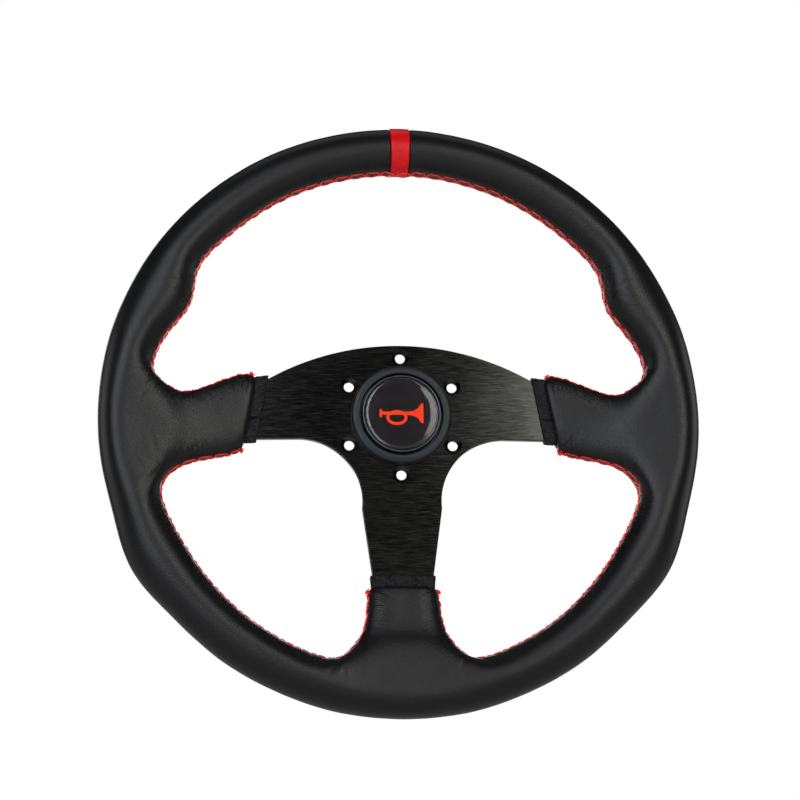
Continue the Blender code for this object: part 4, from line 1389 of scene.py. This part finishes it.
def make_horn_button(settings):
    """Bezel, button, disc, sign and dome."""
    bezel = satin_finish("glass-filled nylon, satin moulded", settings.bezel_colour,
                         0.34, 0.46)
    metal = satin_finish("turned aluminium, grey anodised", settings.ring_colour,
                         0.26, 0.38)
    metal.node_tree.nodes["Principled BSDF"].inputs["Metallic"].default_value = 1.0
    disc = satin_finish("polycarbonate film, printed black", settings.disc_colour,
                        0.5, 0.6)
    ink = satin_finish("screen ink, red", settings.sign_colour, 0.5, 0.6)
    for finish in (disc, ink):
        # Resin lies on the print, so the print itself has almost no gloss.
        shader = finish.node_tree.nodes["Principled BSDF"]
        shader.inputs["Specular IOR Level"].default_value = 0.05

    shape = [(24.7, 9.3), (26.5, 9.3), (28.4, 8.9), (29.2, 8.0), (BEZEL, 6.8),
             (BEZEL, HOUSING_SEAT), (HOUSING_WALL, HOUSING_SEAT),
             (HOUSING_WALL, HOUSING_BACK), (LEDGE_BORE, HOUSING_BACK),
             (LEDGE_BORE, LEDGE_TOP), (HOUSING_BORE, LEDGE_TOP), (HOUSING_BORE, 2.5),
             (HOUSING_MOUTH, 2.5), (HOUSING_MOUTH, 8.8)]
    as_piece(turned(softened(shape, 0.5, 4, closed=True)), "horn_bezel", bezel,
             "wheel", ("horn_housing",), 60.0)

    shape = [(0.0, CAP_FACE), (21.9, CAP_FACE), (21.9, 10.0), (22.2, 10.3), (22.7, 10.3),
             (CAP_RADIUS, 9.9), (CAP_RADIUS, STOP_TOP), (24.5, STOP_TOP), (24.5, 0.2),
             (21.8, 0.2), (21.8, CAP_UNDER), (12.0, CAP_UNDER), (12.0, SLEEVE_END),
             (10.0, SLEEVE_END), (10.0, CAP_UNDER), (0.0, CAP_UNDER)]
    as_piece(turned(softened(shape, 0.25, 3)), "push_cap", metal, "horn_button",
             ("horn_cap",), 60.0)

    shape = [(0.0, 9.5), (21.6, 9.5), (21.6, 9.1), (0.0, 9.1)]
    as_piece(turned(softened(shape, 0.1, 2)), "printed_disc", disc, "horn_button",
             ("emblem_disc",))
    as_piece(horn_sign(settings.sign_width / MM), "horn_sign", ink, "horn_button")

    shape = [(0.0, 12.0), (6.0, 11.97), (12.0, 11.87), (17.0, 11.7), (20.2, 11.45),
             (21.3, 10.9), (21.5, 9.8), (0.0, 9.8)]
    as_piece(turned(softened(shape, 0.9, 4)), "clear_dome", dome_finish(), "horn_button",
             ("resin_dome",), 50.0)


# ---- the back of the button ---------------------------------------------------------


def ring_tree():
    """Repeat one part evenly round the hub, turned to face outward."""
    tree = bpy.data.node_groups.new("ring_of_parts", "GeometryNodeTree")
    tree.is_modifier = True
    for name, kind in (("Geometry", "NodeSocketGeometry"), ("Part", "NodeSocketObject"),
                       ("Count", "NodeSocketInt"), ("Radius", "NodeSocketFloat"),
                       ("First", "NodeSocketFloat"), ("Finish", "NodeSocketMaterial")):
        tree.interface.new_socket(name, in_out="INPUT", socket_type=kind)
    tree.interface.new_socket("Parts", in_out="OUTPUT", socket_type="NodeSocketGeometry")
    given = node(tree, "NodeGroupInput").outputs
    line = node(tree, "GeometryNodeMeshLine", {"Count": given["Count"],
                                               "Offset": (0.0, 0.0, 0.0)})
    index = node(tree, "GeometryNodeInputIndex")
    share = node(tree, "ShaderNodeMath", {0: index.outputs[0], 1: given["Count"]},
                 operation="DIVIDE")
    turn = node(tree, "ShaderNodeMath", {0: share.outputs[0], 1: 2.0 * pi,
                                         2: given["First"]}, operation="MULTIPLY_ADD")
    spin = node(tree, "ShaderNodeCombineXYZ", {"Z": turn.outputs[0]})
    out = node(tree, "ShaderNodeCombineXYZ", {"X": given["Radius"]})
    place = node(tree, "ShaderNodeVectorRotate", {"Vector": out.outputs[0],
                                                  "Angle": turn.outputs[0]},
                 rotation_type="Z_AXIS")
    spots = node(tree, "GeometryNodeSetPosition", {"Geometry": line.outputs[0],
                                                   "Position": place.outputs[0]})
    part = node(tree, "GeometryNodeObjectInfo", {"Object": given["Part"]})
    parts = node(tree, "GeometryNodeInstanceOnPoints", {
        "Points": spots.outputs[0], "Instance": part.outputs["Geometry"],
        "Rotation": spin.outputs[0]})
    real = node(tree, "GeometryNodeRealizeInstances", {"Geometry": parts.outputs[0]})
    painted = node(tree, "GeometryNodeSetMaterial", {"Geometry": real.outputs[0],
                                                     "Material": given["Finish"]})
    node(tree, "NodeGroupOutput", {"Parts": painted.outputs[0]})
    return tree


def ringed(tree, part, count, radius, first, finish):
    """A plain mesh of a part repeated round the hub."""
    pattern = add_object("pattern", part)
    carrier = add_object("ring", bpy.data.meshes.new("ring"))
    step = carrier.modifiers.new("ring", "NODES")
    step.node_group = tree
    sockets = inputs_of(tree)
    for name, value in (("Part", pattern), ("Count", count), ("Radius", radius * MM),
                        ("First", radians(first)), ("Finish", finish)):
        step[sockets[name]] = value
    mesh = evaluated_mesh(carrier)
    for obj in (carrier, pattern):
        bpy.data.objects.remove(obj, do_unlink=True)
    return mesh


def screw_mesh():
    """A pan-head screw with a cross recess, its head towards -Z."""
    shape = [(0.0, -7.6), (0.8, -7.6), (1.1, -8.2), (1.1, -13.6), (2.2, -13.6),
             (2.2, -14.4), (1.6, -14.9), (0.0, -14.9)]
    screw = turned(softened(shape, 0.15, 2), 24)
    arms = [(0.28, 0.28), (0.28, 1.15), (-0.28, 1.15), (-0.28, 0.28), (-1.15, 0.28),
            (-1.15, -0.28), (-0.28, -0.28), (-0.28, -1.15), (0.28, -1.15), (0.28, -0.28),
            (1.15, -0.28), (1.15, 0.28)]
    return cut_out(screw, [filled(arms, -15.4, -14.2)])


def clip_mesh():
    """One spring strip, rolled and bent, with rounded edges."""
    path = [(26.7, -9.0), (26.7, -3.6), (27.1, -1.6), (27.9, -0.8), (29.2, -0.8)]
    path = [Vector(p) for p in softened(path, 0.9, 4)]
    bm = bmesh.new()
    rings = []
    for i, point in enumerate(path):
        ahead = (path[min(i + 1, len(path) - 1)] - path[max(i - 1, 0)]).normalized()
        side = Vector((ahead.y, -ahead.x))
        ring = []
        for across, lift in ((-4.0, -0.35), (4.0, -0.35), (4.0, 0.35), (-4.0, 0.35)):
            spot = point + side * lift
            ring.append(bm.verts.new(vector(spot.x, across, spot.y)))
        rings.append(ring)
    for first, second in zip(rings, rings[1:]):
        bridge(bm, first, second, True)
    bm.faces.new(rings[0])
    bm.faces.new(rings[-1])
    bmesh.ops.recalc_face_normals(bm, faces=bm.faces)
    return beveled(mesh_from(bm, "clip"), 0.15, 2)


def blade_mesh(x):
    """A 6.3 mm blade terminal with chamfered tip and its detent hole."""
    shape = [(-3.15, -8.4), (3.15, -8.4), (3.15, -20.6), (2.0, -22.0), (-2.0, -22.0),
             (-3.15, -20.6)]
    hole = arc((0.0, -18.0), 0.85, 0.0, 348.75, 31)
    blade = filled(shape, -0.4, 0.4, 0.12, (hole,))
    blade.transform(Matrix.Rotation(radians(90.0), 4, "Z")
                    @ Matrix.Rotation(radians(90.0), 4, "X"))
    blade.transform(Matrix.Translation(vector(x, 0.0, 0.0)))
    return blade


def make_button_back(settings):
    """Contact base, its screws, the blade terminals and the spring strips."""
    phenolic = satin_finish("phenolic, black, compression moulded",
                            settings.base_colour, 0.42, 0.56)
    zinc = satin_finish("steel, zinc plated", colour("#b4b2aa"), 0.24, 0.40)
    brass = satin_finish("brass strip, tinned dull", colour("#b39a5c"), 0.30, 0.44)
    spring = satin_finish("spring steel, blued", colour("#4a4d55"), 0.28, 0.42)
    for finish in (zinc, brass, spring):
        finish.node_tree.nodes["Principled BSDF"].inputs["Metallic"].default_value = 1.0

    shape = [(0.0, BASE_TOP), (19.4, BASE_TOP), (19.4, -10.8), (25.9, -10.8),
             (25.9, BASE_BACK), (0.0, BASE_BACK)]
    base = turned(softened(shape, 0.5, 4))
    cutters = []
    for i in range(3):
        x, y = clock(60.0 + 120.0 * i, SCREW_CIRCLE)
        cutters.append(turned([(0.0, -7.0), (1.5, -7.0), (1.5, -15.0), (0.0, -15.0)], 24,
                              (x, y)))
    for x in (-TERMINAL_X, TERMINAL_X):
        slot = [(x - 0.7, -3.45), (x + 0.7, -3.45), (x + 0.7, 3.45), (x - 0.7, 3.45)]
        cutters.append(filled(slot, -14.0, -6.0))
    as_piece(cut_out(base, cutters), "contact_plate", phenolic, "wheel",
             ("contact_base",))

    tree = ring_tree()
    as_piece(ringed(tree, screw_mesh(), 3, SCREW_CIRCLE, 30.0, zinc), "base_screws", zinc,
             "wheel", ("base_screw_1", "base_screw_2", "base_screw_3"))
    as_piece(ringed(tree, clip_mesh(), 3, 0.0, 90.0, spring), "housing_clips", spring,
             "wheel", ("housing_clip_1", "housing_clip_2", "housing_clip_3"))
    for name, x in (("left", -TERMINAL_X), ("right", TERMINAL_X)):
        as_piece(blade_mesh(x), f"blade_{name}", brass, "wheel",
                 (f"terminal_{name}",))


# ---- pieces inside ------------------------------------------------------------------


def spring_tree():
    """A coil of wire: a rising spiral with a round section."""
    tree = bpy.data.node_groups.new("coil_spring", "GeometryNodeTree")
    tree.is_modifier = True
    for name, kind in (("Geometry", "NodeSocketGeometry"), ("Turns", "NodeSocketFloat"),
                       ("Radius", "NodeSocketFloat"), ("Height", "NodeSocketFloat"),
                       ("Wire", "NodeSocketFloat"), ("Finish", "NodeSocketMaterial")):
        tree.interface.new_socket(name, in_out="INPUT", socket_type=kind)
    tree.interface.new_socket("Spring", in_out="OUTPUT", socket_type="NodeSocketGeometry")
    given = node(tree, "NodeGroupInput").outputs
    coil = node(tree, "GeometryNodeCurveSpiral", {
        "Resolution": 32, "Rotations": given["Turns"], "Start Radius": given["Radius"],
        "End Radius": given["Radius"], "Height": given["Height"]})
    wire = node(tree, "GeometryNodeCurvePrimitiveCircle", {"Resolution": 10,
                                                           "Radius": given["Wire"]})
    solid = node(tree, "GeometryNodeCurveToMesh", {"Curve": coil.outputs[0],
                                                   "Profile Curve": wire.outputs[0],
                                                   "Fill Caps": True})
    real = node(tree, "GeometryNodeRealizeInstances", {"Geometry": solid.outputs[0]})
    painted = node(tree, "GeometryNodeSetMaterial", {"Geometry": real.outputs[0],
                                                     "Material": given["Finish"]})
    node(tree, "NodeGroupOutput", {"Spring": painted.outputs[0]})
    return tree


def make_spring(finish):
    """The return spring, between the contact base and the underside of the cap."""
    carrier = add_object("coil", bpy.data.meshes.new("coil"))
    step = carrier.modifiers.new("coil", "NODES")
    step.node_group = spring_tree()
    sockets = inputs_of(step.node_group)
    low = BASE_TOP + 0.3 + SPRING_WIRE
    height = CAP_UNDER - 0.3 - SPRING_WIRE - low
    for name, value in (("Turns", SPRING_TURNS), ("Radius", SPRING_RADIUS * MM),
                        ("Height", height * MM), ("Wire", SPRING_WIRE * MM),
                        ("Finish", finish)):
        step[sockets[name]] = value
    mesh = evaluated_mesh(carrier)
    bpy.data.objects.remove(carrier, do_unlink=True)
    mesh.transform(Matrix.Translation(vector(0.0, 0.0, low)))
    spring = as_piece(welded(mesh), "coil_spring", finish, "wheel",
                      ("return_spring",), 60.0)
    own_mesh(spring)


def refinish(names, finish):
    """Give solids of the frame a finish, and leave their shape alone."""
    for name in names:
        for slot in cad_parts[name].material_slots:
            slot.material = finish


def make_core(settings):
    """Finishes of the pieces under the leather and inside the button."""
    steel = satin_finish("mild steel, phosphated", colour("#5f6468"), 0.45, 0.65)
    wire = satin_finish("music wire, drawn", colour("#9aa0a6"), 0.22, 0.36)
    brass = satin_finish("brass, stamped", colour("#c7a65a"), 0.26, 0.42)
    alloy = satin_finish("aluminium, mill finish", settings.hoop_colour, 0.34, 0.5)
    for finish in (steel, wire, brass, alloy):
        finish.node_tree.nodes["Principled BSDF"].inputs["Metallic"].default_value = 1.0
    foam = satin_finish("polyurethane foam, integral skin", settings.foam_colour,
                        0.62, 0.8)
    refinish(["rim_foam"], foam)
    refinish(["rim_hoop"], alloy)
    refinish([f"hoop_rivet_{i}" for i in range(1, 7)], steel)
    make_spring(wire)
    refinish(["moving_contact", "fixed_contact"], brass)


# ---- studio -------------------------------------------------------------------------


def lamp(name, place, target, size, power, shade, width=None):
    """A soft box that faces a point."""
    data = bpy.data.lights.new(name, "AREA")
    data.shape = "RECTANGLE"
    data.size = width or size
    data.size_y = size
    data.energy = power
    data.color = colour(shade)[:3]
    obj = add_object(name, data)
    obj.location = place
    obj.visible_camera = False
    obj.rotation_euler = (Vector(target) - Vector(place)).to_track_quat("-Z", "Y").to_euler()
    return obj


FLOOR_GLOW = 0.97               # share of its own light in what the camera sees of the floor
FLOOR_REACH = 20.0              # metres from the middle to each side
FLOOR_HEIGHT = -0.30
GLOW_STRENGTH = 1.1             # lifts the paper's tone to the backdrop's white


def floor_finish(base):
    """Matt paper sweep: pale, with the faint mottle of its fibres. The camera sees mostly
    its own even light, so shadows on it are faint; the wheel gets only what it reflects."""
    material, tree, shader = finish_named("matt paper sweep")
    place = node(tree, "ShaderNodeTexCoord").outputs["Object"]
    fibres = node(tree, "ShaderNodeTexNoise", {"Vector": place, "Scale": 1.0 / (3.0 * MM),
                                               "Detail": 3.0})
    shade = tuple(c * 0.97 for c in base[:3]) + (1.0,)
    tone = node(tree, "ShaderNodeMix", {"Factor": fibres.outputs["Fac"], 6: base, 7: shade},
                data_type="RGBA")
    tree.links.new(tone.outputs[2], shader.inputs["Base Color"])
    shader.inputs["Roughness"].default_value = 0.9
    ray = node(tree, "ShaderNodeLightPath")
    share = node(tree, "ShaderNodeMath", {0: ray.outputs["Is Camera Ray"], 1: FLOOR_GLOW},
                 operation="MULTIPLY")
    pale = node(tree, "ShaderNodeEmission", {"Color": tone.outputs[2], "Strength": GLOW_STRENGTH})
    mixed = node(tree, "ShaderNodeMixShader", {0: share.outputs[0], 1: shader.outputs[0],
                                               2: pale.outputs[0]})
    tree.links.new(mixed.outputs[0], tree.nodes["Material Output"].inputs["Surface"])
    return material


def make_studio(settings):
    """Floor, backdrop light, soft boxes and camera."""
    bm = bmesh.new()
    bm.faces.new([bm.verts.new((x * FLOOR_REACH, y * FLOOR_REACH, FLOOR_HEIGHT))
                  for x, y in ((-1, -1), (1, -1), (1, 1), (-1, 1))])
    floor = add_object("floor", mesh_from(bm, "floor"))
    floor.data.materials.append(floor_finish(settings.floor_colour))

    world = bpy.data.worlds.new("studio")
    bpy.context.scene.world = world
    world.use_nodes = True
    tree = world.node_tree
    tree.nodes.clear()
    ray = node(tree, "ShaderNodeLightPath")
    seen = node(tree, "ShaderNodeBackground", {"Color": colour("#ffffff"),
                                               "Strength": 1.0})
    lit = node(tree, "ShaderNodeBackground", {"Color": settings.fill_colour,
                                              "Strength": settings.fill})
    mixed = node(tree, "ShaderNodeMixShader", {0: ray.outputs["Is Camera Ray"],
                                               1: lit.outputs[0], 2: seen.outputs[0]})
    node(tree, "ShaderNodeOutputWorld", {"Surface": mixed.outputs[0]})

    lamp("left_box", (-0.58, -1.4, 0.42), (0.0, 0.0, 0.05), 1.0, settings.key, "#f6f8ff",
         0.86)
    lamp("right_box", (0.545, -1.4, 0.42), (0.0, 0.0, 0.05), 1.0, settings.side, "#fffdf8",
         0.46)
    lamp("low_box", (-0.55, -1.0, -0.5), (0.0, 0.0, 0.0), 0.2, settings.low, "#ffffff")
    lamp("back_box", (0.0, 1.7, 0.5), (0.0, 0.0, 0.0), 1.0, settings.back, "#ffffff", 2.2)
    for name, x in (("left_side_box", -1.7), ("right_side_box", 1.7)):
        lamp(name, (x, 0.25, 0.3), (0.0, 0.0, 0.0), 1.0, settings.sides, "#ffffff")
    lamp("top_box", (0.0, 0.2, 1.5), (0.0, 0.0, 0.0), 0.8, settings.top, "#ffffff", 1.4)

    data = bpy.data.cameras.new("camera")
    data.lens = settings.lens
    data.sensor_width = 36.0
    data.clip_end = 100.0
    camera = add_object("camera", data)
    turn = (Matrix.Rotation(settings.yaw, 4, "Z")
            @ Matrix.Rotation(radians(90.0) + settings.pitch, 4, "X")
            @ Matrix.Rotation(settings.roll, 4, "Z"))
    camera.matrix_world = Matrix.Translation(settings.place) @ turn
    bpy.context.scene.camera = camera
    bpy.context.scene.view_settings.view_transform = "Standard"


# ---- settings -----------------------------------------------------------------------


def size_setting(name, description, millimetres):
    return FloatProperty(name=name, description=description, default=millimetres * MM,
                         min=0.0, subtype="DISTANCE", unit="LENGTH")


def colour_setting(name, description, text):
    return FloatVectorProperty(name=name, description=description, default=colour(text),
                               size=4, min=0.0, max=1.0, subtype="COLOR")


class LeatherSettings(bpy.types.PropertyGroup):
    thickness: size_setting("Thickness", "Thickness of the rim's leather", 1.3)
    edge_round: size_setting("Edge", "How far from its end the leather rounds over", 3.0)
    colour: colour_setting("Colour", "Colour of the rim's leather", "#090a0b")
    worn_colour: colour_setting("Worn colour", "Colour of the leather where it is rubbed",
                                "#101113")
    collar_colour: colour_setting("Collar", "Colour of the strips round the spokes",
                                  "#0e0f11")


class MarkerSettings(bpy.types.PropertyGroup):
    width: size_setting("Width", "Width of the band at 12 o'clock", 11.4)
    colour: colour_setting("Colour", "Colour of the band", "#ee0a14")


class LacingSettings(bpy.types.PropertyGroup):
    pitch: size_setting("Pitch", "Length of one stitch and the crossing after it", 9.4)
    dash: size_setting("Dash", "Length of a stitch along its row", 5.2)
    width: size_setting("Width", "Distance between the two rows", 6.4)
    thread: size_setting("Thread", "Thickness of the thread", 0.76)
    end_gap: size_setting("End gap", "How far the lacing stops before the leather's end",
                          3.6)
    colour: colour_setting("Colour", "Colour of the thread", "#ff2410")


class SpokeSettings(bpy.types.PropertyGroup):
    edge: size_setting("Edge", "Rounding of the plate's edges", 0.5)
    colour: colour_setting("Colour", "Colour of the anodised plate", "#2a2a29")
    streak_colour: colour_setting("Streaks", "Colour of the brightest brush lines",
                                  "#575855")


class ButtonSettings(bpy.types.PropertyGroup):
    sign_width: size_setting("Sign", "Width of the horn sign", 25.5)
    bezel_colour: colour_setting("Bezel", "Colour of the bezel", "#141c20")
    ring_colour: colour_setting("Ring", "Colour of the button's ring", "#4c5256")
    disc_colour: colour_setting("Disc", "Colour of the disc under the dome", "#141012")
    sign_colour: colour_setting("Sign colour", "Colour of the horn sign", "#ff3a12")
    base_colour: colour_setting("Base", "Colour of the contact base", "#241c17")
    hoop_colour: colour_setting("Hoop", "Colour of the ring inside the rim", "#b9bcc0")
    foam_colour: colour_setting("Foam", "Colour of the foam under the leather", "#303030")


class StudioSettings(bpy.types.PropertyGroup):
    floor_colour: colour_setting("Floor", "Colour of the floor", "#f4f3f1")
    fill_colour: colour_setting("Fill colour", "Colour of the light from all round",
                                "#eef2f8")
    fill: FloatProperty(name="Fill", description="Strength of the light from all round",
                        default=0.05, min=0.0)
    key: FloatProperty(name="Key", description="Power of the large box at the front left",
                       default=10.2, min=0.0, subtype="POWER")
    side: FloatProperty(name="Side", description="Power of the box at the front right",
                        default=7.2, min=0.0, subtype="POWER")
    low: FloatProperty(name="Low", description="Power of the small box at the lower left",
                       default=1.2, min=0.0, subtype="POWER")
    sides: FloatProperty(name="Sides", description="Power of each box beside the wheel",
                         default=4.0, min=0.0, subtype="POWER")
    back: FloatProperty(name="Back", description="Power of the box behind the wheel",
                        default=16.0, min=0.0, subtype="POWER")
    top: FloatProperty(name="Top", description="Power of the box above the wheel",
                       default=1.6, min=0.0, subtype="POWER")
    place: FloatVectorProperty(name="Camera", description="Where the camera stands",
                               default=(-0.09797, -1.06718, -0.25634),
                               subtype="TRANSLATION", unit="LENGTH")
    yaw: FloatProperty(name="Yaw", description="Turn of the camera about the vertical",
                       default=radians(-5.24), subtype="ANGLE", unit="ROTATION")
    pitch: FloatProperty(name="Pitch", description="Upward tilt of the camera",
                         default=radians(13.98), subtype="ANGLE", unit="ROTATION")
    roll: FloatProperty(name="Roll", description="Turn of the camera about its own line",
                        default=radians(-0.7466), subtype="ANGLE", unit="ROTATION")
    lens: FloatProperty(name="Lens", description="Focal length in millimetres",
                        default=84.56, min=1.0)


# ---- operators ----------------------------------------------------------------------


class WHEEL_OT_leather(bpy.types.Operator):
    """Build the leather over the rim and the spokes' ends"""
    bl_idname = "wheel.leather"
    bl_label = "Leather"

    def execute(self, context):
        make_leather(context.scene.wheel_leather, context.scene.wheel_lacing.pitch / MM)
        return {"FINISHED"}


class WHEEL_OT_marker(bpy.types.Operator):
    """Build the band at 12 o'clock"""
    bl_idname = "wheel.marker"
    bl_label = "Centre band"

    def execute(self, context):
        make_marker(context.scene.wheel_marker)
        return {"FINISHED"}


class WHEEL_OT_lacing(bpy.types.Operator):
    """Lace the leather along the three openings"""
    bl_idname = "wheel.lacing"
    bl_label = "Lacing"

    def execute(self, context):
        make_lacing(context.scene.wheel_lacing)
        return {"FINISHED"}


class WHEEL_OT_collars(bpy.types.Operator):
    """Build the strips round the spokes"""
    bl_idname = "wheel.collars"
    bl_label = "Collars"

    def execute(self, context):
        make_collars(context.scene.wheel_leather)
        return {"FINISHED"}


class WHEEL_OT_spokes(bpy.types.Operator):
    """Build the spoke plate"""
    bl_idname = "wheel.spokes"
    bl_label = "Spokes"

    def execute(self, context):
        make_spokes(context.scene.wheel_spokes)
        return {"FINISHED"}


class WHEEL_OT_button(bpy.types.Operator):
    """Build the horn button's bezel, cap, disc, sign and dome"""
    bl_idname = "wheel.button"
    bl_label = "Horn button"

    def execute(self, context):
        make_horn_button(context.scene.wheel_button)
        return {"FINISHED"}


class WHEEL_OT_button_back(bpy.types.Operator):
    """Build the contact base, its screws, the terminals and the clips"""
    bl_idname = "wheel.button_back"
    bl_label = "Back of the button"

    def execute(self, context):
        make_button_back(context.scene.wheel_button)
        return {"FINISHED"}


class WHEEL_OT_core(bpy.types.Operator):
    """Finish the pieces under the leather and inside the button"""
    bl_idname = "wheel.core"
    bl_label = "Inner pieces"

    def execute(self, context):
        make_core(context.scene.wheel_button)
        return {"FINISHED"}


class WHEEL_OT_studio(bpy.types.Operator):
    """Build the floor, the lights and the camera"""
    bl_idname = "wheel.studio"
    bl_label = "Studio"

    def execute(self, context):
        make_studio(context.scene.wheel_studio)
        return {"FINISHED"}


SETTINGS = {
    "wheel_leather": LeatherSettings,
    "wheel_marker": MarkerSettings,
    "wheel_lacing": LacingSettings,
    "wheel_spokes": SpokeSettings,
    "wheel_button": ButtonSettings,
    "wheel_studio": StudioSettings,
}
OPERATORS = (WHEEL_OT_leather, WHEEL_OT_marker, WHEEL_OT_lacing, WHEEL_OT_collars,
             WHEEL_OT_spokes, WHEEL_OT_button, WHEEL_OT_button_back, WHEEL_OT_core,
             WHEEL_OT_studio)


class WHEEL_PT_pieces(bpy.types.Panel):
    """The wheel's pieces and their settings"""
    bl_idname = "WHEEL_PT_pieces"
    bl_label = "Steering wheel"
    bl_space_type = "VIEW_3D"
    bl_region_type = "UI"
    bl_category = "Wheel"

    def draw(self, context):
        for operator in OPERATORS:
            self.layout.operator(operator.bl_idname)
        for name, group in SETTINGS.items():
            box = self.layout.box()
            box.label(text=group.__name__.replace("Settings", ""))
            for key in group.__annotations__:
                box.prop(getattr(context.scene, name), key)


def register():
    for cls in (*SETTINGS.values(), *OPERATORS, WHEEL_PT_pieces):
        bpy.utils.register_class(cls)
    for name, group in SETTINGS.items():
        setattr(bpy.types.Scene, name, PointerProperty(type=group))


def unregister():
    for name in SETTINGS:
        delattr(bpy.types.Scene, name)
    for cls in reversed((*SETTINGS.values(), *OPERATORS, WHEEL_PT_pieces)):
        bpy.utils.unregister_class(cls)


def main():
    register()
    bpy.ops.wheel.leather()
    bpy.ops.wheel.marker()
    bpy.ops.wheel.lacing()
    bpy.ops.wheel.collars()
    bpy.ops.wheel.spokes()
    bpy.ops.wheel.button()
    bpy.ops.wheel.button_back()
    bpy.ops.wheel.core()
    bpy.ops.wheel.studio()


if __name__ == "__main__":
    main()
